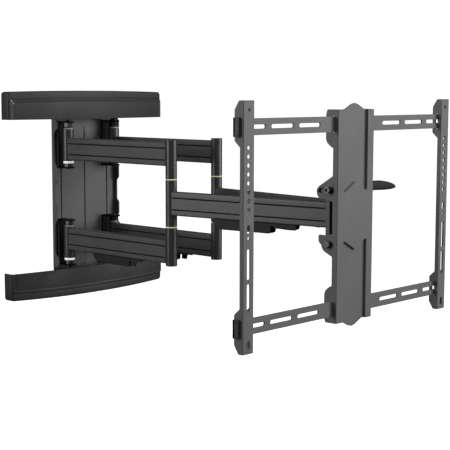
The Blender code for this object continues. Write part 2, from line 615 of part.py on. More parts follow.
def upright(side, word):
    """Vertical TV bracket: channel with ears that ride on both rails."""
    x, w, t, h, f = UPRIGHT_X, UPRIGHT_W, 2.3 * MM, UPRIGHT_H, FRONT_Y
    fl, ear = -777.4 * MM, -765.0 * MM
    base = box(x - w, x + w, f, f + t, -h, h)
    up = [(-775.0 * MM, h), (ear, 200.5 * MM), (ear, 148 * MM), (fl, 137.0 * MM)]
    prof = [(f + 0.5 * MM, h)] + up + [(y, -z) for y, z in reversed(up)] + [(f + 0.5 * MM, -h)]
    prof = soften(prof, [0, 1.5 * MM, 3 * MM, 3 * MM, 2 * MM, 2 * MM, 3 * MM, 3 * MM, 1.5 * MM, 0],
                  2)
    adds = [bm_prism(prof, "X", x - w, x - w + t), bm_prism(prof, "X", x + w - t, x + w)]
    cuts = []
    for z in (-RAIL_Z, RAIL_Z):
        cuts.append(box(x - 30 * MM, x + 30 * MM, RAIL_Y[0] - 0.45 * MM, RAIL_Y[1] + 0.45 * MM,
                        z - RAIL_H - 0.45 * MM, z + RAIL_H + 0.45 * MM))
    y0, y1 = f - 5 * MM, f + t + 1.2 * MM
    cuts.append(bm_prism(ring_outline(x, 200 * MM, 3.0 * MM, 12), "Y", y0, y1))
    for i in range(8):
        cuts.append(bm_prism(ring_outline(x, (137 - 15 * i) * MM, 3.7 * MM, 12), "Y", y0, y1))
    cuts.append(bm_prism(ring_outline(x, -16.3 * MM, 2.6 * MM, 12), "Y", y0, y1))
    for za, zb in ((6.0, -8.5), (-34.5, -87.5), (-94.5, -143.0), (-192.0, -207.5)):
        cuts.append(bm_prism(slot_outline(x, (za + zb) / 2 * MM, 7.4 * MM, (za - zb) * MM),
                             "Y", y0, y1))
    build("upright_" + word, base, STEEL, adds, cuts, at=(side * x, f, 0.0), mirror=(side, 1))


def end_cap(side, level, tag):
    """Moulded cap over the end of a rail."""
    z, x0, x1 = RAIL_Z, UPRIGHT_X + UPRIGHT_W + 0.5 * MM, 319.6 * MM
    prof = [(-778.6 * MM, z - 16.4 * MM), (-768.8 * MM, z - 16.4 * MM),
            (-768.8 * MM, z - 14.9 * MM), (-771.3 * MM, z - 14.9 * MM),
            (-771.3 * MM, z + 14.9 * MM), (-768.8 * MM, z + 14.9 * MM),
            (-768.8 * MM, z + 16.4 * MM), (-778.6 * MM, z + 16.4 * MM)]
    pocket = box(x0 - 5 * MM, RAIL_END + 0.4 * MM, RAIL_Y[0] - 0.4 * MM, RAIL_Y[1] + 0.4 * MM,
                 z - RAIL_H - 0.4 * MM, z + RAIL_H + 0.4 * MM)
    build("end_cap_" + tag, bm_prism(prof, "X", x0, x1), PLASTIC, (), [pocket],
          mirror=(side, level))


# =============================================================================
wall_plate()
cover("cover_upper", 1)
cover("cover_lower", -1)
for sgn, lr in ((-1, "left"), (1, "right")):
    for lev, ul in ((1, "upper"), (-1, "lower")):
        wall_hinge(sgn, lev, ul + "_" + lr)
    rear_arm(sgn, lr)
    front_arm(sgn, lr)
head()
tilt_lever()
centre_plate()
rail("rail_upper", RAIL_Z)
rail("rail_lower", -RAIL_Z)
for sgn, lr in ((-1, "left"), (1, "right")):
    upright(sgn, lr)
    for lev, ul in ((1, "upper"), (-1, "lower")):
        end_cap(sgn, lev, ul + "_" + lr)
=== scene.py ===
"""Looks for the full motion TV wall mount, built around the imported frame."""

import math

import bmesh
import bpy
from mathutils import Matrix, Vector


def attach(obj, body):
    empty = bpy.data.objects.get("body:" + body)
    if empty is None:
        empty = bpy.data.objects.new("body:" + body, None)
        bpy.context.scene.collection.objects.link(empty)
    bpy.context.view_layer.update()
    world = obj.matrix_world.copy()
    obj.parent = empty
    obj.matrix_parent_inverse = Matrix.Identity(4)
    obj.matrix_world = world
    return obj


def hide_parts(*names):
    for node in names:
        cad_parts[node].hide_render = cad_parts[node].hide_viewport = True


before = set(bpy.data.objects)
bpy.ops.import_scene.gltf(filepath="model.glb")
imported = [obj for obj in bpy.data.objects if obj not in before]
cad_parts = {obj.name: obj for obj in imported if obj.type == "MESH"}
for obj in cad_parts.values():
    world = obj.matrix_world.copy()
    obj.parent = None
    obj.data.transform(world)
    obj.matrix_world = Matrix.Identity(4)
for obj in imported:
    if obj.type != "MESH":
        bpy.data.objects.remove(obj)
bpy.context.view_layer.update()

MM = 0.001
GAP = 0.3 * MM

# driving sizes, the same ones as the CAD model
ARM_X, WALL_HINGE_Y, ELBOW_Y = 68 * MM, -33 * MM, -363.5 * MM
HEAD_X, HEAD_Y = 18 * MM, -744 * MM
ARM_Z, ARM_T, ARM_H = 101.5 * MM, 20 * MM, 49 * MM
POST_R, POST_TOP, POST_SPLIT = 12 * MM, 131 * MM, 49.5 * MM
ELBOW_PIN_R, HINGE_PIN_R, HEAD_PIN_R = 6 * MM, 5 * MM, 4.6 * MM
KNUCKLE_R, KNUCKLE_Z = 12.5 * MM, (74.3 * MM, 145 * MM)
HEAD_TUBE_R, OPEN_PIVOT_R = 11 * MM, 8.3 * MM
PLATE_T, PLATE_X, PLATE_H, BAR_W = 3 * MM, (-90 * MM, 97 * MM), 222 * MM, 216 * MM
BRACKET_Z, BRACKET_W = (58 * MM, 163 * MM), 13.5 * MM
FRONT_Y, SHEET, CENTRE_W, CENTRE_H = -786 * MM, 2.5 * MM, 55 * MM, 198.5 * MM
RECESS, RECESS_W = 5 * MM, 35 * MM
UPRIGHT_X, UPRIGHT_W, UPRIGHT_H = 298.5 * MM, 13.65 * MM, 216 * MM
RAIL_Z, RAIL_H, RAIL_Y, RAIL_END = 171.3 * MM, 14.4 * MM, (-776.6 * MM, -773.1 * MM), 316.8 * MM
TILT_Y, TILT_Z, LEVER_X = -766.5 * MM, 50.5 * MM, 66 * MM
TILT_SWING = (-3.2, 12.2)


# =============================================================================
# Materials
# =============================================================================
class Nodes:
    """Small helper for wiring a node material."""

    def __init__(self, name):
        self.mat = bpy.data.materials.new(name)
        self.mat.use_nodes = True
        self.tree = self.mat.node_tree
        self.bsdf = self.tree.nodes["Principled BSDF"]
        self.coord = self.tree.nodes.new("ShaderNodeTexCoord")

    def new(self, kind, **values):
        n = self.tree.nodes.new(kind)
        for k, v in values.items():
            if hasattr(n, k):
                setattr(n, k, v)
            else:
                n.inputs[k.replace("_", " ")].default_value = v
        return n

    def link(self, a, b):
        self.tree.links.new(a, b)

    def mapped(self, scale):
        m = self.new("ShaderNodeMapping")
        m.inputs["Scale"].default_value = scale
        self.link(self.coord.outputs["Object"], m.inputs["Vector"])
        return m.outputs["Vector"]

    def noise(self, scale, detail=2.0, rough=0.5, vector=None, distortion=0.0):
        n = self.new("ShaderNodeTexNoise")
        n.inputs["Scale"].default_value = scale
        n.inputs["Detail"].default_value = detail
        n.inputs["Roughness"].default_value = rough
        n.inputs["Distortion"].default_value = distortion
        self.link(vector if vector is not None else self.coord.outputs["Object"],
                  n.inputs["Vector"])
        return n.outputs["Fac"]

    def ramp(self, fac, stops):
        r = self.new("ShaderNodeValToRGB")
        e = r.color_ramp.elements
        while len(e) < len(stops):
            e.new(0.5)
        for el, (pos, col) in zip(e, stops):
            el.position = pos
            c = col if isinstance(col, (tuple, list)) else (col, col, col)
            el.color = (*c, 1.0)
        self.link(fac, r.inputs["Fac"])
        return r.outputs["Color"]

    def mix(self, a, b, fac, mode="MIX"):
        m = self.new("ShaderNodeMix", data_type="RGBA", blend_type=mode)
        for sock, val in ((m.inputs[6], a), (m.inputs[7], b), (m.inputs[0], fac)):
            if isinstance(val, (int, float)):
                sock.default_value = val if sock.type == "VALUE" else (val, val, val, 1)
            elif isinstance(val, (tuple, list)):
                sock.default_value = (*val, 1.0)
            else:
                self.link(val, sock)
        return m.outputs[2]

    def math(self, op, a, b=0.0):
        m = self.new("ShaderNodeMath", operation=op)
        for sock, val in zip(m.inputs, (a, b)):
            if isinstance(val, (int, float)):
                sock.default_value = val
            else:
                self.link(val, sock)
        return m.outputs[0]

    def bump(self, height, strength, distance, normal=None):
        b = self.new("ShaderNodeBump")
        b.inputs["Strength"].default_value = strength
        b.inputs["Distance"].default_value = distance
        self.link(height, b.inputs["Height"])
        if normal is not None:
            self.link(normal, b.inputs["Normal"])
        return b.outputs["Normal"]

    def set(self, **sockets):
        for k, v in sockets.items():
            sock = self.bsdf.inputs[k.replace("_", " ")]
            if isinstance(v, (int, float)):
                sock.default_value = v
            elif isinstance(v, (tuple, list)):
                sock.default_value = (*v, 1.0) if len(v) == 3 else v
            else:
                self.link(v, sock)
        return self.mat


def tint(rgb, k):
    return tuple(min(1.0, c * k) for c in rgb)


def powder_coat(name, rgb, rough=0.55, grain=1.0, spec=0.5):
    """Textured powder coat: pinhead grain, orange peel and faint mottling."""
    n = Nodes(name)
    grit = n.noise(1500, 3.0, 0.65)
    peel = n.noise(420, 2.0, 0.5)
    broad = n.noise(14, 3.0, 0.55)
    speck = n.ramp(grit, [(0.36, tint(rgb, 0.80)), (0.52, rgb), (0.70, tint(rgb, 1.28))])
    col = n.mix(speck, n.ramp(broad, [(0.3, 0.90), (0.7, 1.08)]), 1.0, "MULTIPLY")
    rgh = n.ramp(grit, [(0.3, rough - 0.07), (0.7, rough + 0.09)])
    nrm = n.bump(peel, 0.22 * grain, 0.00035)
    nrm = n.bump(grit, 0.30 * grain, 0.00018, nrm)
    return n.set(Base_Color=col, Roughness=rgh, Normal=nrm, Metallic=0.0,
                 Specular_IOR_Level=spec)


def drawn_aluminium(name, rgb, rough=0.42, along=(1.0, 0.02, 1.0), spec=0.55):
    """Black coated extrusion: die lines along the bar under a thin satin coat."""
    n = Nodes(name)
    lines = n.noise(900, 2.0, 0.6, n.mapped(along))
    fine = n.noise(1700, 2.0, 0.5)
    broad = n.noise(9, 3.0, 0.55)
    col = n.ramp(lines, [(0.32, tint(rgb, 0.86)), (0.68, tint(rgb, 1.16))])
    col = n.mix(col, n.ramp(broad, [(0.3, 0.92), (0.7, 1.07)]), 1.0, "MULTIPLY")
    rgh = n.ramp(lines, [(0.3, rough - 0.06), (0.7, rough + 0.08)])
    nrm = n.bump(lines, 0.16, 0.00012)
    nrm = n.bump(fine, 0.14, 0.0001, nrm)
    return n.set(Base_Color=col, Roughness=rgh, Normal=nrm, Metallic=0.0,
                 Specular_IOR_Level=spec)


def moulded_plastic(name, rgb, rough=0.5, grain=1.0, cell=900, spec=0.45):
    """Spark-eroded moulding grain with slow gloss changes."""
    n = Nodes(name)
    v = n.new("ShaderNodeTexVoronoi", feature="SMOOTH_F1")
    v.inputs["Scale"].default_value = cell
    n.link(n.coord.outputs["Object"], v.inputs["Vector"])
    fine = n.noise(2100, 2.0, 0.6)
    broad = n.noise(11, 3.0, 0.6)
    col = n.mix(n.ramp(fine, [(0.35, tint(rgb, 0.88)), (0.65, tint(rgb, 1.14))]),
                n.ramp(broad, [(0.3, 0.92), (0.7, 1.07)]), 1.0, "MULTIPLY")
    rgh = n.ramp(broad, [(0.3, rough - 0.05), (0.7, rough + 0.06)])
    nrm = n.bump(v.outputs["Distance"], 0.20 * grain, 0.0003)
    nrm = n.bump(fine, 0.12 * grain, 0.0001, nrm)
    return n.set(Base_Color=col, Roughness=rgh, Normal=nrm, Metallic=0.0,
                 Specular_IOR_Level=spec)


def washer_plastic(name, rgb, rough=0.38, painted_glow=0.0):
    """Unfilled bearing plastic: milky and translucent, faint turning rings, slight soiling, and an emission
    that paints light into it so it glows though it is no lamp.
    """
    n = Nodes(name)
    rings = n.noise(260, 2.0, 0.5, n.mapped((0.2, 0.2, 6.0)))
    dirt = n.noise(120, 4.0, 0.6)
    col = n.mix(n.ramp(dirt, [(0.25, tint(rgb, 0.80)), (0.6, rgb)]),
                n.ramp(rings, [(0.3, 0.94), (0.7, 1.0)]), 1.0, "MULTIPLY")
    rgh = n.ramp(dirt, [(0.3, rough + 0.1), (0.7, rough - 0.05)])
    # the emission set below is painted light: the washer glows though it is no lamp
    m = n.set(Base_Color=col, Roughness=rgh, Normal=n.bump(rings, 0.12, 0.0001),
              Metallic=0.0, Subsurface_Weight=0.12, Subsurface_Scale=0.002,
              Emission_Color=(*rgb,), Emission_Strength=painted_glow)
    return m


def plated_steel(name, rgb, rough=0.32):
    """Black zinc plated hardware: turned rings, small scuffs."""
    n = Nodes(name)
    turn = n.noise(700, 2.0, 0.5, n.mapped((0.3, 0.3, 3.0)))
    scuff = n.noise(260, 5.0, 0.7)
    col = n.mix(n.ramp(turn, [(0.3, tint(rgb, 0.82)), (0.7, tint(rgb, 1.2))]),
                n.ramp(scuff, [(0.40, 0.85), (0.75, 1.25)]), 1.0, "MULTIPLY")
    rgh = n.ramp(scuff, [(0.3, rough - 0.06), (0.7, rough + 0.14)])
    return n.set(Base_Color=col, Roughness=rgh, Normal=n.bump(turn, 0.15, 0.0001), Metallic=1.0)


M = {
    "tv_steel": (powder_coat("tv_plate_powder_coat", (0.088, 0.088, 0.088), 0.52),
                 "powder_coated_steel"),
    # wall plate: the TV plate coat made darker, painted shade for the panel behind the arms
    "wall_steel": (powder_coat("wall_plate_coat_painted_shade", (0.072, 0.072, 0.072), 0.50),
                   "powder_coated_steel"),
    # bracket: a near-black, low-specular copy of the powder coat, painted shade for the tray behind the
    # knuckle
    "bracket": (powder_coat("bracket_coat_painted_shade", (0.0045, 0.0045, 0.0045), 0.50, 0.6, 0.07),
                "powder_coated_steel"),
    "yoke": (powder_coat("yoke_powder_coat", (0.055, 0.055, 0.055), 0.46, 0.8),
             "powder_coated_steel"),
    "tube": (drawn_aluminium("hinge_tube_satin_black", (0.034, 0.034, 0.034), 0.31,
                             (1.0, 1.0, 0.02)), "satin_black_steel"),
    "arm": (drawn_aluminium("arm_extrusion_black", (0.050, 0.050, 0.050), 0.44),
            "black_aluminium"),
    "cover": (moulded_plastic("cover_black_moulding", (0.020, 0.020, 0.020), 0.52, 0.8, 1100, 0.36),
              "black_plastic"),
    # light grey, glossy rod material for the cover's left mitre: a painted highlight
    "mitre_painted_highlight": (moulded_plastic("mitre_rod_painted_highlight", (0.34, 0.34, 0.34), 0.24, 0.4, 1100, 0.9),
                   "black_plastic"),
    "clip": (moulded_plastic("clip_black_moulding", (0.0075, 0.0075, 0.0075), 0.55, 1.0, 900, 0.3),
             "black_plastic"),
    # near-black strips in the arm grooves: painted shade for the groove floors
    "painted_groove_shade": (moulded_plastic("groove_painted_shade_black", (0.006, 0.006, 0.006), 0.6, 0.6, 900, 0.12),
              "black_plastic"),
    "cap": (moulded_plastic("cap_black_moulding", (0.022, 0.022, 0.022), 0.52, 1.0, 1000),
            "black_plastic"),
    "lever": (moulded_plastic("lever_soft_black", (0.010, 0.010, 0.010), 0.60, 0.6, 1300, 0.2),
              "black_plastic"),
    # white washers: emission 0.35 paints extra light on them
    "nylon": (washer_plastic("nylon_white", (0.95, 0.95, 0.93), painted_glow=0.35), "white_nylon"),
    # upper hinge washers: the white nylon darkened to grey, painted shade under the bracket lip
    "nylon_painted_shade": (washer_plastic("nylon_shaded", (0.40, 0.40, 0.39)), "white_nylon"),
    # yellow washers: emission 0.15 paints extra light on them
    "yellow": (washer_plastic("washer_pale_yellow", (0.88, 0.85, 0.48), painted_glow=0.15), "yellow_washer"),
    "zinc": (plated_steel("black_zinc", (0.085, 0.085, 0.088), 0.34), "bright_pin"),
}


# =============================================================================
# Mesh tools
# =============================================================================
def bm_prism(pts, axis, lo, hi):
    bm = bmesh.new()

    def at(p, t):
        return (t, p[0], p[1]) if axis == "X" else ((p[0], t, p[1]) if axis == "Y"
                                                    else (p[0], p[1], t))

    a = [bm.verts.new(at(p, lo)) for p in pts]
    b = [bm.verts.new(at(p, hi)) for p in pts]
    bm.faces.new(a)
    bm.faces.new(b)
    for i in range(len(pts)):
        j = (i + 1) % len(pts)
        bm.faces.new((a[i], a[j], b[j], b[i]))
    bmesh.ops.recalc_face_normals(bm, faces=bm.faces)
    return bm


def bm_lathe(x, y, prof, n=64, closed=False):
    """Turned form about a vertical axis; prof runs (radius, z), ends on the axis if solid."""
    bm = bmesh.new()
    rings = []
    for k in range(n):
        t = 2 * math.pi * (k + 0.5) / n
        rings.append([bm.verts.new((x + r * math.cos(t), y + r * math.sin(t), z))
                      for r, z in prof])
    m = len(prof)
    for k in range(n):
        a, b = rings[k], rings[(k + 1) % n]
        for i in range(m if closed else m - 1):
            j = (i + 1) % m
            bm.faces.new((a[i], b[i], b[j], a[j]))
    if not closed:
        bm.faces.new([r[0] for r in rings])
        bm.faces.new([r[-1] for r in rings])
    bmesh.ops.recalc_face_normals(bm, faces=bm.faces)
    return bm


def round_profile(r, z0, z1, f, n=4):
    """Bar profile with its two end edges rounded by f."""
    pts = []
    for k in range(n + 1):
        a = math.pi / 2 * k / n
        pts.append((r - f + f * math.sin(a), z0 + f - f * math.cos(a)))
    for k in range(n + 1):
        a = math.pi / 2 * k / n
        pts.append((r - f + f * math.cos(a), z1 - f + f * math.sin(a)))
    return pts


def bm_post(x, y, z0, z1, r, f=0.8 * MM, n=64, hole=0.0):
    prof = round_profile(r, z0, z1, f)
    if hole > 0:
        prof = prof + [(hole, z1), (hole, z0)]
    return bm_lathe(x, y, prof, n, closed=hole > 0)


def along_x(bm, y, z):
    m = Matrix(((0, 0, 1, 0), (1, 0, 0, y), (0, 1, 0, z), (0, 0, 0, 1)))
    bmesh.ops.transform(bm, matrix=m, verts=bm.verts)
    return bm


def bm_rod_x(y, z, x0, x1, r, f=0.0, n=48):
    if f > 0:
        return along_x(bm_lathe(0, 0, round_profile(r, x0, x1, f), n), y, z)
    return along_x(bm_lathe(0, 0, [(r, x0), (r, x1)], n), y, z)


def bm_rod_between(a, b, r, n=16):
    bm = bm_lathe(0, 0, round_profile(r, 0.0, (Vector(b) - Vector(a)).length, 0.6 * r), n)
    m = (Vector(b) - Vector(a)).to_track_quat("Z", "Y").to_matrix().to_4x4()
    m.translation = Vector(a)
    bmesh.ops.transform(bm, matrix=m, verts=bm.verts)
    return bm


def bm_loft_y(front, back, y0, y1):
    """Solid between two outlines of equal count, for a pressing with sloping walls."""
    bm = bmesh.new()
    a = [bm.verts.new((x, y0, z)) for x, z in front]
    b = [bm.verts.new((x, y1, z)) for x, z in back]
    bm.faces.new(a)
    bm.faces.new(b)
    for i in range(len(a)):
        j = (i + 1) % len(a)
        bm.faces.new((a[i], a[j], b[j], b[i]))
    bmesh.ops.recalc_face_normals(bm, faces=bm.faces)
    return bm


def box(x0, x1, y0, y1, z0, z1):
    return bm_prism([(x0, y0), (x1, y0), (x1, y1), (x0, y1)], "Z", z0, z1)


def soften(pts, r, n=6):
    out, m = [], len(pts)
    for i in range(m):
        p = Vector(pts[i])
        a, b = Vector(pts[i - 1]) - p, Vector(pts[(i + 1) % m]) - p
        ri = r[i] if isinstance(r, (list, tuple)) else r
        ang = a.angle(b)
        if ri <= 0 or ang > math.radians(178):
            out.append((p.x, p.y))
            continue
        cut = min(ri / math.tan(ang / 2), 0.48 * a.length, 0.48 * b.length)
        s, e = p + a.normalized() * cut, p + b.normalized() * cut
        for k in range(n + 1):
            t = k / n
            q = s * (1 - t) ** 2 + p * (2 * t * (1 - t)) + e * t ** 2
            out.append((q.x, q.y))
    return out


def slot_outline(cx, cz, length, height, n=10):
    out = []
    wide = length >= height
    r, h = min(length, height) / 2, abs(length - height) / 2
    for s in (1, -1):
        for k in range(n + 1):
            a = math.radians((-90 if s > 0 else 90) + 180 * k / n)
            if wide:
                out.append((cx + s * h + r * math.cos(a), cz + r * math.sin(a)))
            else:
                out.append((cx - r * math.sin(a), cz + s * h + r * math.cos(a)))
    return out


def ring(cx, cy, r, n=24, start=0.0):
    return [(cx + r * math.cos(start + 2 * math.pi * k / n),
             cy + r * math.sin(start + 2 * math.pi * k / n)) for k in range(n)]


def raw(name, bm):
    me = bpy.data.meshes.new(name)
    bm.to_mesh(me)
    bm.free()
    ob = bpy.data.objects.new(name, me)
    bpy.context.collection.objects.link(ob)
    return ob


def level_normals(ob, weight=100):
    """Flat faces stay flat right up to their rounded edges."""
    w = ob.modifiers.new("normals", "WEIGHTED_NORMAL")
    w.mode, w.weight, w.keep_sharp = "FACE_AREA", weight, True


def piece(name, base, mat, body, nodes=(), add=(), cut=(), mirror=(1, 1), turn=None,
          bevel=0.45 * MM, segments=2, angle=32, bends=(), bend_r=2.4 * MM):
    """Finished visible piece: booleans, softened edges, material, body and the node it shows."""
    ob = raw("fine_" + name, base)
    tools = []
    for op, group in (("UNION", add), ("DIFFERENCE", cut)):
        for bm in group:
            tool = raw("cutter", bm)
            tools.append(tool)
            mod = ob.modifiers.new(op.lower(), "BOOLEAN")
            mod.operation, mod.object, mod.solver = op, tool, "EXACT"
    if tools:
        bpy.context.view_layer.update()
        dg = bpy.context.evaluated_depsgraph_get()
        me = bpy.data.meshes.new_from_object(ob.evaluated_get(dg))
        ob.modifiers.clear()
        ob.data = me
        for tool in tools:
            bpy.data.objects.remove(tool, do_unlink=True)
    sx, sz = mirror
    bm = bmesh.new()
    bm.from_mesh(ob.data)
    bmesh.ops.remove_doubles(bm, verts=bm.verts, dist=1e-6)
    bmesh.ops.dissolve_limit(bm, angle_limit=math.radians(0.2), verts=bm.verts, edges=bm.edges)
    if bends:
        folds = [e for e in bm.edges
                 if any(all(abs(v.co.x - bx) < 1e-5 and abs(v.co.y - by) < 1e-5 for v in e.verts)
                        for bx, by in bends)]
        bmesh.ops.bevel(bm, geom=folds, offset=bend_r, segments=6, profile=0.5, affect="EDGES",
                        clamp_overlap=False)
        bmesh.ops.dissolve_degenerate(bm, edges=bm.edges, dist=1e-6)
    bmesh.ops.transform(bm, matrix=Matrix.Diagonal((sx, 1, sz, 1)), verts=bm.verts)
    if sx * sz < 0:
        bmesh.ops.reverse_faces(bm, faces=bm.faces)
    if turn is not None:
        at, ang = turn
        m = Matrix.Translation(Vector(at)) @ Matrix.Rotation(ang, 4, "Z")
        bmesh.ops.transform(bm, matrix=m, verts=bm.verts)
    bm.to_mesh(ob.data)
    bm.free()
    me = ob.data
    me.materials.clear()
    me.materials.append(M[mat][0])
    me.shade_smooth()
    if bevel > 0:
        b = ob.modifiers.new("edges", "BEVEL")
        b.width, b.segments, b.limit_method = bevel, segments, "ANGLE"
        b.angle_limit = math.radians(angle)
        b.use_clamp_overlap = False
        b.miter_outer = "MITER_ARC"
    else:
        me.set_sharp_from_angle(angle=math.radians(35))
    level_normals(ob)
    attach(ob, body)
    if nodes:
        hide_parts(*([nodes] if isinstance(nodes, str) else nodes))
    return ob


def arm_section(z_mid, n=5):
    t, h, r = ARM_T / 2, ARM_H / 2, 3.0 * MM
    right = []
    for k in range(n + 1):
        a = -math.pi / 2 + math.pi / 2 * k / n
        right.append((t - r + r * math.cos(a), -h + r + r * math.sin(a)))
    for zc in (-12.2 * MM, 12.2 * MM):
        right += [(t, zc - 1.4 * MM), (t - 2.6 * MM, zc - 1.2 * MM),
                  (t - 2.6 * MM, zc + 1.2 * MM), (t, zc + 1.4 * MM)]
    for k in range(n + 1):
        a = math.pi / 2 * k / n
        right.append((t - r + r * math.cos(a), h - r + r * math.sin(a)))
    return [(x, z + z_mid) for x, z in right + [(-x, z) for x, z in reversed(right)]]


def arm_hollow(z_mid):
    t, h = ARM_T / 2 - 3.4 * MM, ARM_H / 2 - 3.4 * MM
    return [(x, z + z_mid) for x, z in soften([(-t, -h), (t, -h), (t, h), (-t, h)], 2 * MM, 4)]


# =============================================================================
# Wall side
# =============================================================================
def wall_plate():
    h, b, z1 = PLATE_H, BAR_W, 184.0 * MM
    wl, wr = PLATE_X[0] + 1.0 * MM, PLATE_X[1] - 1.0 * MM
    outline = [(-b, z1), (wl, z1), (wl, -z1), (-b, -z1), (-b, -h), (b, -h), (b, -z1),
               (wr, -z1), (wr, z1), (b, z1), (b, h), (-b, h)]
    r = [6 * MM, 3 * MM, 3 * MM, 6 * MM, 9 * MM, 9 * MM, 6 * MM, 3 * MM, 3 * MM, 6 * MM,
         9 * MM, 9 * MM]
    base = bm_prism(soften(outline, r), "Y", -PLATE_T, 0.0)
    half = [(0, 12), (23, 12), (29, 19), (55, 19), (61, 16), (71, 9), (78, 8), (131, 8),
            (139, 10), (147, 20), (162, 20), (168, 14)]
    prof = [(-d * MM, z * MM) for z, d in half]
    prof = [(y, -z) for y, z in reversed(prof[1:])] + prof
    flange = [(-0.4 * MM, -168 * MM)] + prof + [(-0.4 * MM, 168 * MM)]
    flange = soften(flange, [0] + [5 * MM] * len(prof) + [0], 5)
    adds = [bm_prism(flange, "X", x, x + PLATE_T) for x in (PLATE_X[0], PLATE_X[1] - PLATE_T)]
    cuts = []
    for x in (-66.0 * MM, 3.6 * MM, 71.0 * MM):
        g, d = 1.6 * MM, 2.3 * MM
        cuts.append(bm_prism([(x - g, -PLATE_T - 0.5 * MM), (x + g, -PLATE_T - 0.5 * MM),
                              (x + g, -PLATE_T), (x + 0.7 * g, -PLATE_T + d),
                              (x - 0.7 * g, -PLATE_T + d), (x - g, -PLATE_T)],
                             "Z", -142 * MM, 142 * MM))
    for z in (-170, -146, 146, 170):
        cuts.append(bm_prism(ring(2.0 * MM, z * MM, 2.2 * MM, 24), "Y", -6 * MM, -0.8 * MM))
    for sz in (-1, 1):
        for x, ln in ((-184, 48), (184, 48), (-120, 26), (120, 26)):
            cuts.append(bm_prism(slot_outline(x * MM, sz * 197 * MM, ln * MM, 9 * MM), "Y",
                                 -6 * MM, 3 * MM))
        cuts.append(bm_prism(slot_outline(0, sz * 197 * MM, 9 * MM, 26 * MM), "Y", -6 * MM,
                             3 * MM))
    piece("wall_plate", base, "wall_steel", "wall_side", "wall_plate", adds, cuts,
          bevel=0.5 * MM)


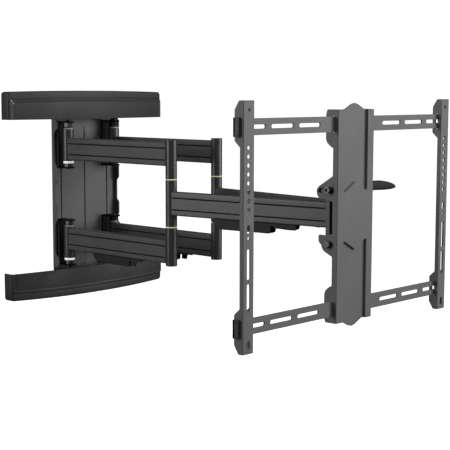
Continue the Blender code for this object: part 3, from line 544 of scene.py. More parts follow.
def cover(name, sz):
    """Bowed moulding: raised field, mitred facet, groove, outer band and rolled rim; the upper one also gets
    a light grey rod along its left mitre, a painted highlight.
    """
    m1, nc, m2, z0 = 7, 7, 30, 168.3
    # X, Z at the ends, crown at the middle, corner radius, set-back on top, set-back at the ends
    rings = [(212.2, 203.0, 2.8, 0.0, 1.2, 1.2), (213.4, 204.1, 2.8, 2.4, 1.2, 1.2),
             (213.7, 204.4, 2.8, 2.6, 1.35, 1.8), (214.5, 204.8, 2.8, 2.8, 1.35, 1.8),
             (214.8, 205.0, 2.8, 2.9, 1.15, 1.15), (215.4, 205.4, 2.8, 2.9, 1.05, 1.1),
             (222.6, 209.2, 2.7, 3.2, 0.6, 0.1), (223.2, 209.8, 2.7, 3.4, 0.8, 0.3),
             (223.4, 210.0, 2.7, 3.4, 7.4, 4.4), (223.8, 212.5, 2.7, 3.6, 7.4, 4.4),
             (224.1, 212.8, 2.7, 3.8, 3.5, 3.9), (224.3, 225.7, 2.9, 6.0, 4.0, 4.3)]
    r = 2.9
    for k in range(1, 7):
        a = math.pi / 2 * k / 6
        rings.append((226.0 - 1.7 + 1.7 * math.sin(a), 228.6 - r + r * math.sin(a), 2.9,
                      6.0 + 1.5 * math.sin(a), 4.0 + r * (1 - math.cos(a)),
                      4.3 + r * (1 - math.cos(a))))
    rings += [(226.0, 228.6, 2.9, 7.5, "flat", -13.0), (226.0, 228.6, 2.9, 7.5, "flat", -0.3)]
    bm = bmesh.new()

    def spot(x, z, back, crown, t):
        u = min(1.0, abs(x) / 226.0)
        zz = z + crown * (1 - u * u) * t
        if back[0] == "flat":
            return (x, back[1], zz)
        return (x, -(48.8 - 20.4 * u * u) + back[0], zz)

    def loop(X, Z, crown, R, top, end):
        out = []
        flat = top == "flat"
        for j in range(m1 + 1):
            f = j / m1
            out.append(spot(-X, z0 + (Z - R - z0) * f, (top, end) if flat else (end,), crown, 0))
        for k in range(1, nc):
            a = math.pi / 2 * k / nc
            mixed = end + (top - end) * k / nc if not flat else 0
            out.append(spot(-X + R - R * math.cos(a), Z - R + R * math.sin(a),
                            (top, end) if flat else (mixed,), crown, 1))
        for i in range(m2 + 1):
            x = (-X + R) + 2 * (X - R) * i / m2
            out.append(spot(x, Z, (top, end) if flat else (top,), crown, 1))
        half = out[:m1 + nc]
        for q in reversed(half):
            out.append((-q[0], q[1], q[2]))
        return [bm.verts.new(tuple(c * MM for c in q)) for q in out]

    made = [loop(*q) for q in rings]
    for p, q in zip(made[:-1], made[1:]):
        for i in range(len(p) - 1):
            bm.faces.new((p[i], p[i + 1], q[i + 1], q[i]))
    X, Z, crown = rings[0][:3]
    cols = []
    for i in range(m2 + 1):
        x = -X + 2 * X * i / m2
        u = abs(x) / 226.0
        top = Z + crown * (1 - u * u)
        cols.append([bm.verts.new((x * MM, (1.2 - (48.8 - 20.4 * u * u)) * MM,
                                   (z0 + (top - z0) * j / m1) * MM)) for j in range(m1 + 1)])
    for p, q in zip(cols[:-1], cols[1:]):
        for j in range(m1):
            bm.faces.new((p[j], p[j + 1], q[j + 1], q[j]))
    bmesh.ops.remove_doubles(bm, verts=bm.verts, dist=4e-5)
    bmesh.ops.dissolve_degenerate(bm, edges=bm.edges, dist=1e-6)
    bmesh.ops.recalc_face_normals(bm, faces=bm.faces)
    field = [f for f in bm.faces if f.calc_center_median().z < 195 * MM
             and abs(f.calc_center_median().x) < 150 * MM]
    if sum(f.normal.y for f in field) > 0:
        bmesh.ops.reverse_faces(bm, faces=bm.faces)
    ob = piece(name, bm, "cover", "wall_side", name, mirror=(1, sz), bevel=0)
    ob.modifiers.clear()
    ob.data.set_sharp_from_angle(angle=math.radians(180))
    sol = ob.modifiers.new("shell", "SOLIDIFY")
    sol.thickness, sol.offset, sol.use_even_offset = 2.2 * MM, -1.0, False
    b = ob.modifiers.new("edges", "BEVEL")
    b.width, b.segments, b.limit_method, b.angle_limit = 0.35 * MM, 3, "ANGLE", math.radians(13)
    b.use_clamp_overlap = True
    # upper cover only: a thin light grey rod laid along the left mitre, a painted highlight
    if sz > 0:
        a, e = (-223.1 * MM, -28.9 * MM, 211.6 * MM), (-213.9 * MM, -29.6 * MM, 202.0 * MM)
        piece("cover_highlight_rod", bm_rod_between(a, e, 1.05 * MM), "mitre_painted_highlight", "wall_side", bevel=0)
    return ob


def wall_hinge(side, level, tag):
    """Formed bracket: tray with raised side rims and two half-round lips, plus its pin."""
    x, y, w = ARM_X, WALL_HINGE_Y, BRACKET_W
    z0, z1 = BRACKET_Z
    back, web = -PLATE_T - GAP, 3.0 * MM
    lip = [(x - w, back), (x - w, y)]
    lip += [(x + w * math.cos(math.pi + math.pi * k / 24), y + w * math.sin(math.pi + math.pi * k / 24))
            for k in range(1, 24)]
    lip += [(x + w, y), (x + w, back)]
    k0, k1 = KNUCKLE_Z
    base = box(x - w, x + w, back - web, back, z0, z1)
    rim = soften([(back - web - 0.1 * MM, z0 + 3.2 * MM), (-11.5 * MM, z0 + 3.2 * MM),
                  (-11.5 * MM, z1 - 3.2 * MM), (back - web - 0.1 * MM, z1 - 3.2 * MM)],
                 [0, 1 * MM, 1 * MM, 0], 3)
    piece("hinge_rim_" + tag, bm_prism(rim, "X", x - w, x - w + 1.6 * MM), "yoke", "wall_side", (),
          [bm_prism(rim, "X", x + w - 1.6 * MM, x + w)], mirror=(side, level), bevel=0.35 * MM)
    adds = [bm_prism(lip, "Z", z0, z0 + 3.0 * MM), bm_prism(lip, "Z", z1 - 3.0 * MM, z1)]
    cuts = [bm_lathe(x, y, [(HINGE_PIN_R + 0.4 * MM, z0 - 5 * MM),
                            (HINGE_PIN_R + 0.4 * MM, z1 + 5 * MM)], 40)]
    # the tray's near-black coat is painted shade; the side rims keep the lighter yoke coat
    piece("hinge_bracket_" + tag, base, "bracket", "wall_side", "hinge_bracket_" + tag, adds, cuts,
          mirror=(side, level), bevel=0.6 * MM, segments=3)
    head = [(HINGE_PIN_R - 0.8 * MM, z0 - 2.4 * MM), (HINGE_PIN_R, z0 - 1.6 * MM),
            (HINGE_PIN_R, z1 + GAP), (7.6 * MM, z1 + GAP), (8.2 * MM, z1 + 0.9 * MM),
            (8.2 * MM, z1 + 2.2 * MM), (7.5 * MM, z1 + 3.0 * MM), (5.6 * MM, z1 + 3.5 * MM),
            (3.2 * MM, z1 + 3.6 * MM), (2.6 * MM, z1 + 3.3 * MM), (2.4 * MM, z1 + 1.6 * MM)]
    nuts = [bm_prism(ring(x, y, 9.2 * MM, 6, 0.35), "Z", k1 + 5.0 * MM, z1 - 3.4 * MM),
            bm_post(x, y, k1 + 3.2 * MM, k1 + 5.4 * MM, 10.4 * MM, 0.6 * MM, 48),
            bm_prism(ring(x, y, 9.2 * MM, 6, 0.35), "Z", z0 + 3.4 * MM, k0 - 5.0 * MM),
            bm_post(x, y, k0 - 5.4 * MM, k0 - 3.2 * MM, 10.4 * MM, 0.6 * MM, 48)]
    piece("hinge_pin_" + tag, bm_lathe(x, y, head, 48), "zinc", "wall_side", "hinge_pin_" + tag,
          nuts, mirror=(side, level), bevel=0.3 * MM, angle=25)
    for nm, a in (("outer", k1), ("inner", k0)):
        below = (nm == "outer") == (level < 0)
        thick = 4.9 * MM if below else 2.4 * MM
        lo = a + GAP if nm == "outer" else a - GAP - thick
        r = 11.6 * MM if below else 10.2 * MM
        # washers above the knuckle use the grey copy of the white nylon, painted shade
        piece("hinge_washer_%s_%s" % (nm, tag),
              bm_post(x, y, lo, lo + thick, r, 0.6 * MM, 64, HINGE_PIN_R + 0.4 * MM),
              "nylon" if below else "nylon_painted_shade", "wall_side",
              "hinge_washer_%s_%s" % (nm, tag), mirror=(side, level), bevel=0)


# =============================================================================
# Arms
# =============================================================================
def trough(x, top, ya, hung, deep):
    """Cable trough from its side outline: stepped lead-in, rolled bottom, hooked tongue."""
    t, w = 2.2 * MM, ARM_T / 2
    pts = [(y * MM, top - d * MM) for y, d in hung]
    base = bm_prism(soften(pts, [0] + [0.9 * MM] * (len(pts) - 2) + [0], 3), "X", x - w, x + w)
    inner = soften([(x - w - 3 * MM, top - t), (x - w - 3 * MM, top - deep + t),
                    (x + w - t, top - deep + t), (x + w - t, top - t)], [0, 0, 2.5 * MM, 1.5 * MM], 4)
    low = bm_prism([(x + w - 2.6 * MM, top - deep - 1 * MM), (x + w + 1 * MM, top - deep - 1 * MM),
                    (x + w + 1 * MM, top - deep + 2.6 * MM)], "Y", pts[-1][0] - 5 * MM, ya + 5 * MM)
    return base, [bm_prism(inner, "Y", pts[-1][0] - 5 * MM, ya + 5 * MM), low]


def lip_wall(x, top, hung, first, last):
    """Outer wall of a cable trough, ending 5 mm under the arm so that a cable can be pushed in."""
    pts = [(y * MM, top - max(d, 5.0) * MM) for y, d in hung[first:last]]
    return bm_prism(soften(pts, [0] + [0.9 * MM] * (len(pts) - 2) + [0], 3), "X",
                    x - ARM_T / 2, x - ARM_T / 2 + 1.8 * MM)


def groove_shade_strips(x, z, y0, y1):
    """Near-black strips sunk in the four grooves of an arm bar: painted shade that darkens the grooves."""
    out = bmesh.new()
    for sx in (-1, 1):
        for zc in (-12.2 * MM, 12.2 * MM):
            a, b = x + sx * (ARM_T / 2 - 2.55 * MM), x + sx * (ARM_T / 2 - 0.45 * MM)
            strip = box(min(a, b), max(a, b), y0, y1, z + zc - 1.15 * MM, z + zc + 1.15 * MM)
            me = bpy.data.meshes.new("strip")
            strip.to_mesh(me)
            strip.free()
            out.from_mesh(me)
            bpy.data.meshes.remove(me)
    return out


def rear_arm(side, word):
    x, body = ARM_X, word + "_wall_arms"
    y0, y1 = WALL_HINGE_Y - 8.6 * MM, ELBOW_Y + 7.8 * MM
    for level, nm in ((1, "upper"), (-1, "lower")):
        tag = nm + "_" + word
        sec = [(px + x, pz) for px, pz in arm_section(ARM_Z)]
        hol = [(px + x, pz) for px, pz in arm_hollow(ARM_Z)]
        piece("rear_arm_" + tag, bm_prism(sec, "Y", y1, y0), "arm", body, "rear_arm_" + tag, (),
              [bm_prism(hol, "Y", y1 - 5 * MM, y0 + 5 * MM),
               bm_lathe(x, WALL_HINGE_Y, [(KNUCKLE_R + GAP, 60 * MM), (KNUCKLE_R + GAP, 150 * MM)]),
               bm_lathe(x, ELBOW_Y, [(POST_R + GAP, 60 * MM), (POST_R + GAP, 150 * MM)])],
              mirror=(side, level), bevel=0.3 * MM, segments=2, angle=20)
        # near-black strips in the grooves: painted shade
        piece("rear_arm_shade_strips_" + tag, groove_shade_strips(x, ARM_Z, ELBOW_Y + 12.6 * MM, WALL_HINGE_Y - 13 * MM),
              "painted_groove_shade", body, mirror=(side, level), bevel=0)
        k0, k1 = KNUCKLE_Z
        piece("wall_knuckle_" + tag,
              bm_post(x, WALL_HINGE_Y, k0, k1, KNUCKLE_R, 0.9 * MM, 64, HINGE_PIN_R + 0.4 * MM),
              "tube", body, "wall_knuckle_" + tag, mirror=(side, level), bevel=0)
        outer = [(ELBOW_PIN_R + 0.4 * MM, POST_TOP - 5 * MM), (ELBOW_PIN_R + 0.4 * MM, POST_SPLIT + 1.3 * MM)]
        shell = round_profile(POST_R, POST_SPLIT + 1.3 * MM, POST_TOP, 1.0 * MM)
        shell += [(7.2 * MM, POST_TOP), (6.8 * MM, POST_TOP - 0.5 * MM)]
        piece("elbow_post_" + tag, bm_lathe(x, ELBOW_Y, outer + shell, 64), "tube", body,
              "elbow_post_" + tag, mirror=(side, level), bevel=0)
        piece("elbow_washer_" + tag,
              bm_post(x, ELBOW_Y, POST_SPLIT - 1.0 * MM, POST_SPLIT + 1.0 * MM,
                      POST_R + 0.25 * MM, 0.4 * MM, 64, ELBOW_PIN_R + 0.4 * MM),
              "yellow", body, "elbow_washer_" + tag, mirror=(side, level), bevel=0)
    piece("elbow_pin_" + word,
          bm_post(x, ELBOW_Y, -POST_TOP + 5.4 * MM, POST_TOP - 5.4 * MM, ELBOW_PIN_R, 0.8 * MM, 48),
          "zinc", body, "elbow_pin_" + word, mirror=(side, 1), bevel=0)
    hung = [(-125.0, 0.0), (-125.0, 6.3), (-128.5, 6.8), (-134.0, 12.6), (-137.5, 13.4),
            (-140.0, 18.0), (-238.5, 18.0), (-241.5, 16.6), (-243.0, 13.5), (-243.5, 4.8),
            (-249.0, 4.8), (-249.0, 15.0), (-263.5, 15.0), (-266.5, 4.8), (-282.0, 4.8),
            (-282.0, 0.0)]
    piece("rear_clip_lip_" + word, lip_wall(x, -ARM_Z - ARM_H / 2 - GAP, hung, 2, 11), "clip", body,
          mirror=(side, 1), bevel=0.3 * MM)
    base, cut = trough(x, -ARM_Z - ARM_H / 2 - GAP, -125 * MM, hung, 18 * MM)
    piece("rear_cable_clip_" + word, base, "clip", body, "rear_cable_clip_" + word, (), cut,
          mirror=(side, 1), bevel=0.35 * MM)


def front_arm(side, word):
    dx, dy = HEAD_X - ARM_X, HEAD_Y - ELBOW_Y
    length = math.hypot(dx, dy)
    turn = ((side * ARM_X, ELBOW_Y, 0.0), side * math.atan2(dx, -dy))
    body = word + "_front_arm"
    ya, yb = -7.8 * MM, -(length - 6.0 * MM)
    bore = HEAD_PIN_R + 0.4 * MM if side < 0 else OPEN_PIVOT_R
    piece("front_arm_" + word, bm_prism(arm_section(0.0), "Y", yb, ya), "arm", body,
          "front_arm_" + word,
          [bm_post(0, -length, -26.3 * MM, 26.3 * MM, HEAD_TUBE_R, 0.8 * MM, 64)],
          [bm_prism(arm_hollow(0.0), "Y", -(length - HEAD_TUBE_R - 6 * MM), ya + 5 * MM),
           bm_lathe(0, 0, [(POST_R + GAP, -50 * MM), (POST_R + GAP, 50 * MM)]),
           bm_lathe(0, -length, [(bore, -40 * MM), (bore, 40 * MM)], 40)],
          mirror=(side, 1), turn=turn, bevel=0.3 * MM, segments=2, angle=20)
    piece("elbow_sleeve_" + word,
          bm_post(0, 0, -POST_SPLIT + 1.3 * MM, POST_SPLIT - 1.3 * MM, POST_R, 0.9 * MM, 64,
                  ELBOW_PIN_R + 0.4 * MM), "tube", body, "elbow_sleeve_" + word,
          mirror=(side, 1), turn=turn, bevel=0)
    hung = [(-113.0, 0.0), (-113.0, 7.0), (-116.5, 7.5), (-122.0, 14.0), (-125.5, 15.0),
            (-128.0, 20.0), (-246.0, 20.0), (-250.5, 18.2), (-252.5, 14.0), (-252.5, 4.8),
            (-260.0, 4.8), (-260.0, 8.8), (-266.0, 8.8), (-268.0, 7.2), (-297.0, 7.2),
            (-299.0, 9.8), (-310.0, 9.8), (-310.0, 0.0)]
    piece("front_clip_lip_" + word, lip_wall(0.0, -ARM_H / 2 - GAP, hung, 2, 10), "clip", body,
          mirror=(side, 1), turn=turn, bevel=0.3 * MM)
    # near-black strips in the grooves: painted shade
    piece("front_arm_shade_strips_" + word,
          groove_shade_strips(0.0, 0.0, -(length - HEAD_TUBE_R - 1 * MM), -12.6 * MM), "painted_groove_shade", body,
          mirror=(side, 1), turn=turn, bevel=0)
    base, cut = trough(0.0, -ARM_H / 2 - GAP, -113 * MM, hung, 20 * MM)
    piece("front_cable_clip_" + word, base, "clip", body, "front_cable_clip_" + word, (), cut,
          mirror=(side, 1), turn=turn, bevel=0.35 * MM)


# =============================================================================
# Head
# =============================================================================
def hexagon(z, x0, x1, r):
    return bm_prism(ring(TILT_Y, z, r, 6, math.radians(30)), "X", x0, x1)


def head():
    yw0, yw1 = -760.5 * MM, -757.5 * MM
    base = box(-48.5 * MM, 48.5 * MM, yw0, yw1, -64 * MM, 64 * MM)
    adds = []
    side = [(-764.0, -60), (-754.5, -60), (-754.5, 60), (-764.0, 60)]
    for s in (-1, 1):
        x0, x1 = (46.5 * MM, 50.0 * MM) if s > 0 else (-50.0 * MM, -46.5 * MM)
        adds.append(bm_prism([(a * MM, b * MM) for a, b in side], "X", x0, x1))
        for z in (-TILT_Z, TILT_Z):
            adds.append(bm_rod_x(TILT_Y, z, x0, x1, 9.5 * MM))
        for z0, z1 in ((27.0, 62.0), (-62.0, -27.0)):
            adds.append(bm_post(s * HEAD_X, HEAD_Y, z0 * MM, z1 * MM, HEAD_TUBE_R, 0.8 * MM, 48))
        lobe = soften([(-768.0 * MM, 41.5 * MM), (-747.0 * MM, 40.4 * MM), (-738.0 * MM, 41.5 * MM),
                       (-738.0 * MM, 53.5 * MM), (-744.0 * MM, 55.6 * MM), (-766.0 * MM, 59.4 * MM)],
                      [0, 4 * MM, 6 * MM, 6 * MM, 4 * MM, 0], 5)
        adds.append(bm_prism(lobe, "X", x0, x1))
    for z0, z1 in ((29.0, 60.0), (-60.0, -29.0)):
        adds.append(box(-26 * MM, 26 * MM, yw1 - 1.0 * MM, HEAD_Y - 3 * MM, z0 * MM, z1 * MM))
    cuts = [bm_lathe(s * HEAD_X, HEAD_Y, [(HEAD_PIN_R + 0.4 * MM, -70 * MM),
                                          (HEAD_PIN_R + 0.4 * MM, 70 * MM)], 40) for s in (-1, 1)]
    cuts += [bm_rod_x(TILT_Y, z, -60 * MM, 60 * MM, 4.4 * MM, n=32) for z in (-TILT_Z, TILT_Z)]
    piece("yoke", base, "yoke", "head", "yoke", adds, cuts, bevel=0.5 * MM)
    for s, word in ((-1, "left"), (1, "right")):
        r = HEAD_PIN_R
        prof = [(r - 0.6 * MM, -64.5 * MM), (r, -63.9 * MM), (r, 62.3 * MM), (7.4 * MM, 62.3 * MM),
                (8.0 * MM, 63.0 * MM), (8.0 * MM, 64.4 * MM), (7.2 * MM, 65.2 * MM),
                (4.4 * MM, 65.5 * MM), (2.6 * MM, 65.3 * MM), (2.4 * MM, 63.8 * MM)]
        piece("head_pin_" + word, bm_lathe(s * HEAD_X, HEAD_Y, prof, 48), "zinc", "head",
              "head_pin_" + word, bevel=0)
    piece("tilt_pivot_bolt", bm_rod_x(TILT_Y, -TILT_Z, -58.5 * MM, 61.0 * MM, 4.0 * MM, 0.5 * MM, 32),
          "zinc", "head", "tilt_pivot_bolt",
          [bm_rod_x(TILT_Y, -TILT_Z, -56.9 * MM, -55.5 * MM, 8.6 * MM, 0.3 * MM),
           hexagon(-TILT_Z, -62.5 * MM, -56.5 * MM, 7.4 * MM),
           bm_rod_x(TILT_Y, -TILT_Z, 55.5 * MM, 56.9 * MM, 8.6 * MM, 0.3 * MM),
           hexagon(-TILT_Z, 56.5 * MM, 61.6 * MM, 7.4 * MM)], bevel=0.45 * MM)
    piece("tilt_lock_bolt", bm_rod_x(TILT_Y, TILT_Z, -58.5 * MM, LEVER_X, 4.0 * MM, 0.0, 32),
          "zinc", "head", "tilt_lock_bolt",
          [bm_rod_x(TILT_Y, TILT_Z, -57.0 * MM, -55.5 * MM, 9.6 * MM, 0.3 * MM),
           bm_rod_x(TILT_Y, TILT_Z, -63.6 * MM, -56.5 * MM, 6.9 * MM, 0.7 * MM),
           bm_post(LEVER_X, TILT_Y, TILT_Z - 8.6 * MM, TILT_Z + 8.6 * MM, 3.0 * MM, 0.4 * MM, 32)],
          [bm_prism(ring(TILT_Y, TILT_Z, 3.5 * MM, 6), "X", -66 * MM, -60.2 * MM)],
          bevel=0.3 * MM)


def tilt_lever():
    """Cam lever: forked hub and a tongue lofted through rounded sections."""
    spine = [(60, 57.6, 43.2, 4.2), (70, 59.6, 42.6, 4.1), (84, 60.6, 41.8, 3.9),
             (98, 60.2, 41.2, 3.7), (112, 58.9, 40.6, 3.6), (124, 57.0, 40.4, 3.5),
             (134, 55.0, 40.6, 3.4), (142, 52.9, 41.0, 3.2), (148, 50.7, 41.7, 2.9),
             (152, 48.7, 42.5, 2.5), (154.4, 47.1, 43.4, 1.9), (155.4, 45.9, 44.3, 1.1)]
    bm = bmesh.new()
    rings = []
    for x, top, bot, half in spine:
        zc, h = (top + bot) / 2, (top - bot) / 2
        r = []
        for k in range(28):
            a = 2 * math.pi * k / 28
            c, s = math.cos(a), math.sin(a)
            yy = half * math.copysign(abs(c) ** 0.72, c)
            zz = h * math.copysign(abs(s) ** 0.80, s)
            r.append(bm.verts.new((x * MM, TILT_Y + yy * MM, (zc + zz) * MM)))
        rings.append(r)
    for a, b in zip(rings[:-1], rings[1:]):
        for i in range(28):
            j = (i + 1) % 28
            bm.faces.new((a[i], a[j], b[j], b[i]))
    bm.faces.new(rings[0])
    bm.faces.new(rings[-1])
    bmesh.ops.recalc_face_normals(bm, faces=bm.faces)
    x, z = LEVER_X, TILT_Z
    hub = bm_post(x, TILT_Y, z - 9.2 * MM, z + 9.2 * MM, 9.4 * MM, 1.2 * MM, 56)
    piece("tilt_lever", bm, "lever", "lever", "tilt_lever", [hub],
          [bm_lathe(x, TILT_Y, [(3.3 * MM, z - 20 * MM), (3.3 * MM, z + 20 * MM)], 32),
           box(x - 20 * MM, x + 4.6 * MM, TILT_Y - 4.6 * MM, TILT_Y + 20 * MM,
               z - 4.6 * MM, z + 4.6 * MM)], bevel=0.5 * MM, angle=40)


# =============================================================================
# TV side
# =============================================================================
def arc_slot():
    r, cy, cz = 2 * TILT_Z, TILT_Y, -TILT_Z
    out, n, half = [], 16, 4.5 * MM
    a0, a1 = math.radians(TILT_SWING[0]), math.radians(TILT_SWING[1])
    for k in range(n + 1):
        a = a0 + (a1 - a0) * k / n
        out.append((cy + (r + half) * math.sin(a), cz + (r + half) * math.cos(a)))
    ey, ez = cy + r * math.sin(a1), cz + r * math.cos(a1)
    for k in range(1, 12):
        b = math.radians(90 - 180 * k / 12) - a1
        out.append((ey + half * math.cos(b), ez + half * math.sin(b)))
    for k in range(n + 1):
        a = a1 + (a0 - a1) * k / n
        out.append((cy + (r - half) * math.sin(a), cz + (r - half) * math.cos(a)))
    sy, sz = cy + r * math.sin(a0), cz + r * math.cos(a0)
    for k in range(1, 12):
        b = math.radians(-90 - 180 * k / 12) - a0
        out.append((sy + half * math.cos(b), sz + half * math.sin(b)))
    return out


def centre_plate():
    f, t, w, h = FRONT_Y, SHEET, CENTRE_W, CENTRE_H
    base = box(-w, w, f, f + t, -h, h)
    rw, peak, foot = RECESS_W, 65.3 * MM, 46.0 * MM
    upper = soften([(-rw, foot), (0, peak), (rw, foot), (rw, h + 20 * MM), (-rw, h + 20 * MM)],
                   [3 * MM, 4 * MM, 3 * MM, 0, 0], 5)
    wide = [(a * (1 + 0.6 * MM / rw), b - (2.4 * MM if b < h else 0)) for a, b in upper]
    crest = soften([(rw + t, h), (rw - 5 * MM, h), (11 * MM, h + 9.2 * MM), (0, h + 11.8 * MM),
                    (-11 * MM, h + 9.2 * MM), (-rw + 5 * MM, h), (-rw - t, h)],
                   [0, 9 * MM, 5 * MM, 9 * MM, 5 * MM, 9 * MM, 0], 6)
    up_out = [(-rw - t, foot - 3.2 * MM), (0, peak - 3.2 * MM), (rw + t, foot - 3.2 * MM)] + crest

    def flip(p):
        return [(a, -b) for a, b in p]

    adds, cuts = [], []
    for fn in (lambda p: p, flip):
        adds.append(bm_prism(fn(up_out), "Y", f + 0.6 * MM, f + RECESS + t))
        cuts.append(bm_prism(fn(upper), "Y", f - 5 * MM, f + RECESS))
        cuts.append(bm_loft_y(fn(wide), fn(upper), f - 0.01 * MM, f + RECESS - 0.8 * MM))
    fl, ear = f + 12.0 * MM, -757.0 * MM
    edge = [(fl, 128.0), (-769.5 * MM, 129.5), (-763.5 * MM, 134.0), (-759.0 * MM, 138.5),
            (ear, 145.0), (ear, 190.0), (-760 * MM, 198.5)]
    up_ear = [(fl, 28.5), (-762 * MM, 31.5), (-748.5 * MM, 32.5), (-741.5 * MM, 35.0),
              (-737.5 * MM, 40.5), (-736.3 * MM, 47.0), (-738.5 * MM, 53.0), (-743 * MM, 57.0),
              (fl, 76.5)]
    low_ear = [(fl, 73.5), (-756.5 * MM, 65.5), (-752 * MM, 61.5), (-749.6 * MM, 57.5),
               (-748.8 * MM, 53.5), (-744 * MM, 49.5), (-742.2 * MM, 46.0), (-742.0 * MM, 36.0),
               (-744.5 * MM, 34.2), (-757 * MM, 34.2), (fl, 31.5)]
    prof = [(f + 0.5 * MM, h)] + [(y, z * MM) for y, z in reversed(edge)]
    prof += [(y, z * MM) for y, z in reversed(up_ear)]
    prof += [(y, -z * MM) for y, z in reversed(low_ear)]
    prof += [(y, -z * MM) for y, z in edge]
    prof += [(f + 0.5 * MM, -h)]
    prof = soften(prof, [0] + [2.2 * MM] * (len(prof) - 2) + [0], 4)
    for s in (-1, 1):
        x0, x1 = (w - t, w) if s > 0 else (-w, -w + t)
        adds.append(bm_prism(prof, "X", x0, x1))
    for z in (-RAIL_Z, RAIL_Z):
        cuts.append(box(-70 * MM, 70 * MM, RAIL_Y[0] - 0.5 * MM, RAIL_Y[1] + 0.5 * MM,
                        z - RAIL_H - 0.5 * MM, z + RAIL_H + 0.5 * MM))
    cuts.append(bm_rod_x(TILT_Y, -TILT_Z, -70 * MM, 70 * MM, 4.4 * MM, n=32))
    cuts.append(bm_prism(arc_slot(), "X", -70 * MM, 70 * MM))
    piece("centre_plate", base, "tv_steel", "tv_frame", "centre_plate", adds, cuts,
          bevel=0.5 * MM, segments=3, bends=[(-w, f), (w, f)], bend_r=1.7 * MM)


def rail(name, z):
    y0, y1 = RAIL_Y
    base = box(-RAIL_END, RAIL_END, y0, y1, z - RAIL_H, z + RAIL_H)
    cuts = [bm_prism(slot_outline(s * x * MM, z, 60 * MM, 7.2 * MM), "Y", y0 - 5 * MM, y1 + 5 * MM)
            for s in (-1, 1) for x in (125, 200, 275)]
    piece(name, base, "tv_steel", "tv_frame", name, (), cuts, bevel=0.5 * MM)


def upright(side, word):
    x, w, t, h, f = UPRIGHT_X, UPRIGHT_W, 2.3 * MM, UPRIGHT_H, FRONT_Y
    fl, ear = -777.4 * MM, -765.0 * MM
    base = box(x - w, x + w, f, f + t, -h, h)
    up = [(-775.0 * MM, h), (ear, 200.5 * MM), (ear, 148 * MM), (fl, 137.0 * MM)]
    prof = [(f + 0.5 * MM, h)] + up + [(y, -z) for y, z in reversed(up)] + [(f + 0.5 * MM, -h)]
    prof = soften(prof, [0, 3.5 * MM, 5 * MM, 4 * MM, 2 * MM, 2 * MM, 4 * MM, 5 * MM, 3.5 * MM, 0],
                  5)
    adds = [bm_prism(prof, "X", x - w, x - w + t), bm_prism(prof, "X", x + w - t, x + w)]
    cuts = []
    for z in (-RAIL_Z, RAIL_Z):
        cuts.append(box(x - 30 * MM, x + 30 * MM, RAIL_Y[0] - 0.45 * MM, RAIL_Y[1] + 0.45 * MM,
                        z - RAIL_H - 0.45 * MM, z + RAIL_H + 0.45 * MM))
    y0, y1 = f - 5 * MM, f + t + 1.2 * MM
    cuts.append(bm_prism(ring(x, 200 * MM, 3.0 * MM, 24), "Y", y0, y1))
    for i in range(8):
        cuts.append(bm_prism(ring(x, (137 - 15 * i) * MM, 3.7 * MM, 28), "Y", y0, y1))
    cuts.append(bm_prism(ring(x, -16.3 * MM, 2.6 * MM, 24), "Y", y0, y1))
    for za, zb in ((6.0, -8.5), (-34.5, -87.5), (-94.5, -143.0), (-192.0, -207.5)):
        cuts.append(bm_prism(slot_outline(x, (za + zb) / 2 * MM, 7.4 * MM, (za - zb) * MM),
                             "Y", y0, y1))
    piece("upright_" + word, base, "tv_steel", word + "_upright", "upright_" + word, adds, cuts,
          mirror=(side, 1), bevel=0.45 * MM, bends=[(x - w, f), (x + w, f)], bend_r=1.5 * MM)


def end_cap(side, level, tag):
    z, x0, x1 = RAIL_Z, UPRIGHT_X + UPRIGHT_W + 0.5 * MM, 319.6 * MM
    prof = soften([(-778.6 * MM, z - 16.4 * MM), (-768.4 * MM, z - 16.4 * MM),
                   (-768.4 * MM, z - 14.9 * MM), (-772.2 * MM, z - 14.9 * MM),
                   (-771.2 * MM, z - 6 * MM), (-771.0 * MM, z), (-771.2 * MM, z + 6 * MM),
                   (-772.2 * MM, z + 14.9 * MM), (-768.4 * MM, z + 14.9 * MM),
                   (-768.4 * MM, z + 16.4 * MM), (-778.6 * MM, z + 16.4 * MM)],
                  [1.5 * MM, 0.4 * MM, 0.4 * MM, 0.8 * MM, 3 * MM, 3 * MM, 3 * MM, 0.8 * MM,
                   0.4 * MM, 0.4 * MM, 1.5 * MM], 4)
    pocket = box(x0 - 5 * MM, RAIL_END + 0.4 * MM, RAIL_Y[0] - 0.4 * MM, RAIL_Y[1] + 0.4 * MM,
                 z - RAIL_H - 0.4 * MM, z + RAIL_H + 0.4 * MM)
    piece("end_cap_" + tag, bm_prism(prof, "X", x0, x1), "cap", "tv_frame", "end_cap_" + tag, (),
          [pocket], mirror=(side, level), bevel=0.4 * MM, segments=2)


wall_plate()
cover("cover_upper", 1)
cover("cover_lower", -1)
for sgn, lr in ((-1, "left"), (1, "right")):
    for lev, ul in ((1, "upper"), (-1, "lower")):
        wall_hinge(sgn, lev, ul + "_" + lr)
    rear_arm(sgn, lr)
    front_arm(sgn, lr)
head()
tilt_lever()
centre_plate()
rail("rail_upper", RAIL_Z)
rail("rail_lower", -RAIL_Z)
for sgn, lr in ((-1, "left"), (1, "right")):
    upright(sgn, lr)
    for lev, ul in ((1, "upper"), (-1, "lower")):
        end_cap(sgn, lev, ul + "_" + lr)


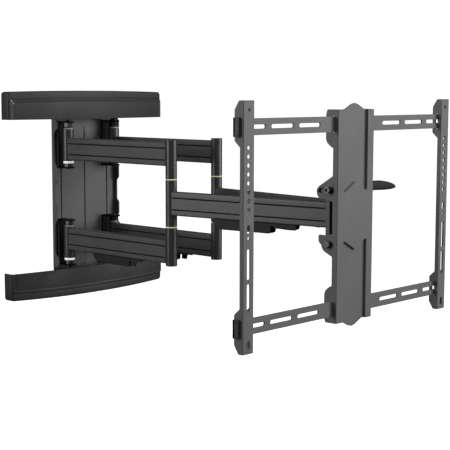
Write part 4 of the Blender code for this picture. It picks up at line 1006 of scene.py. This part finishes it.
# =============================================================================
# Studio
# =============================================================================
def studio():
    fl = Nodes("studio_floor")
    fl.set(Base_Color=fl.ramp(fl.noise(3, 2.0, 0.5), [(0.3, 0.90), (0.7, 0.93)]), Roughness=0.9,
           Specular_IOR_Level=0.1, Emission_Color=(1.0, 1.0, 1.0), Emission_Strength=1.0)
    bm = bmesh.new()
    bmesh.ops.create_grid(bm, x_segments=4, y_segments=4, size=30.0)
    floor = raw("floor", bm)
    floor.location = (0, 0, -0.95)
    floor.data.materials.append(fl.mat)
    floor.visible_diffuse = False
    floor.visible_glossy = False

    world = bpy.data.worlds.new("studio")
    bpy.context.scene.world = world
    world.use_nodes = True
    t = world.node_tree
    bg = t.nodes["Background"]
    bg.inputs["Color"].default_value = (1, 1, 1, 1)
    lp = t.nodes.new("ShaderNodeLightPath")
    mx = t.nodes.new("ShaderNodeMix")
    mx.data_type = "FLOAT"
    mx.inputs[2].default_value = 0.06
    mx.inputs[3].default_value = 1.05
    t.links.new(lp.outputs["Is Camera Ray"], mx.inputs[0])
    t.links.new(mx.outputs[0], bg.inputs["Strength"])

    def area(name, loc, target, size, power):
        d = bpy.data.lights.new(name, "AREA")
        d.shape, d.size, d.size_y, d.energy = "RECTANGLE", size[0], size[1], power
        o = bpy.data.objects.new(name, d)
        bpy.context.collection.objects.link(o)
        o.location = loc
        o.rotation_euler = (Vector(target) - Vector(loc)).to_track_quat("-Z", "Y").to_euler()
        return o

    area("key_front_right", (2.4, -3.9, 0.9), (0, -0.4, 0), (2.6, 2.8), 146)
    area("strip_left", (-2.9, 0.95, 0.9), (-0.1, -0.35, 0), (1.3, 2.6), 62)
    area("top", (-0.5, -1.7, 2.5), (0, -0.5, 0), (1.6, 1.6), 28)
    fill = area("fill_front_left", (-1.3, -4.2, 0.5), (0, -0.3, 0), (1.8, 1.8), 24)
    back = area("back_soft", (0.9, 3.2, 1.3), (0, -0.2, 0), (2.0, 2.0), 40)
    fill.visible_glossy = back.visible_glossy = False


def camera():
    t, p, r = (math.radians(a) for a in (46.9365, 6.4368, 0.1245))
    forward = Vector((math.sin(t) * math.cos(p), math.cos(t) * math.cos(p), -math.sin(p)))
    right = Vector((math.cos(t), -math.sin(t), 0))
    up = right.cross(forward)
    rr, uu = right * math.cos(r) + up * math.sin(r), up * math.cos(r) - right * math.sin(r)
    cam = bpy.data.cameras.new("camera")
    cam.lens, cam.sensor_width, cam.sensor_fit = 94.768, 36.0, "HORIZONTAL"
    cam.clip_start, cam.clip_end = 0.05, 200
    ob = bpy.data.objects.new("camera", cam)
    bpy.context.collection.objects.link(ob)
    m = Matrix((rr, uu, -forward)).transposed().to_4x4()
    m.translation = Vector((-1.776881, -2.112868, 0.230688))
    ob.matrix_world = m
    bpy.context.scene.camera = ob


studio()
camera()
sc = bpy.context.scene
sc.view_settings.view_transform = "Standard"
sc.view_settings.look = "None"

bpy.context.view_layer.update()
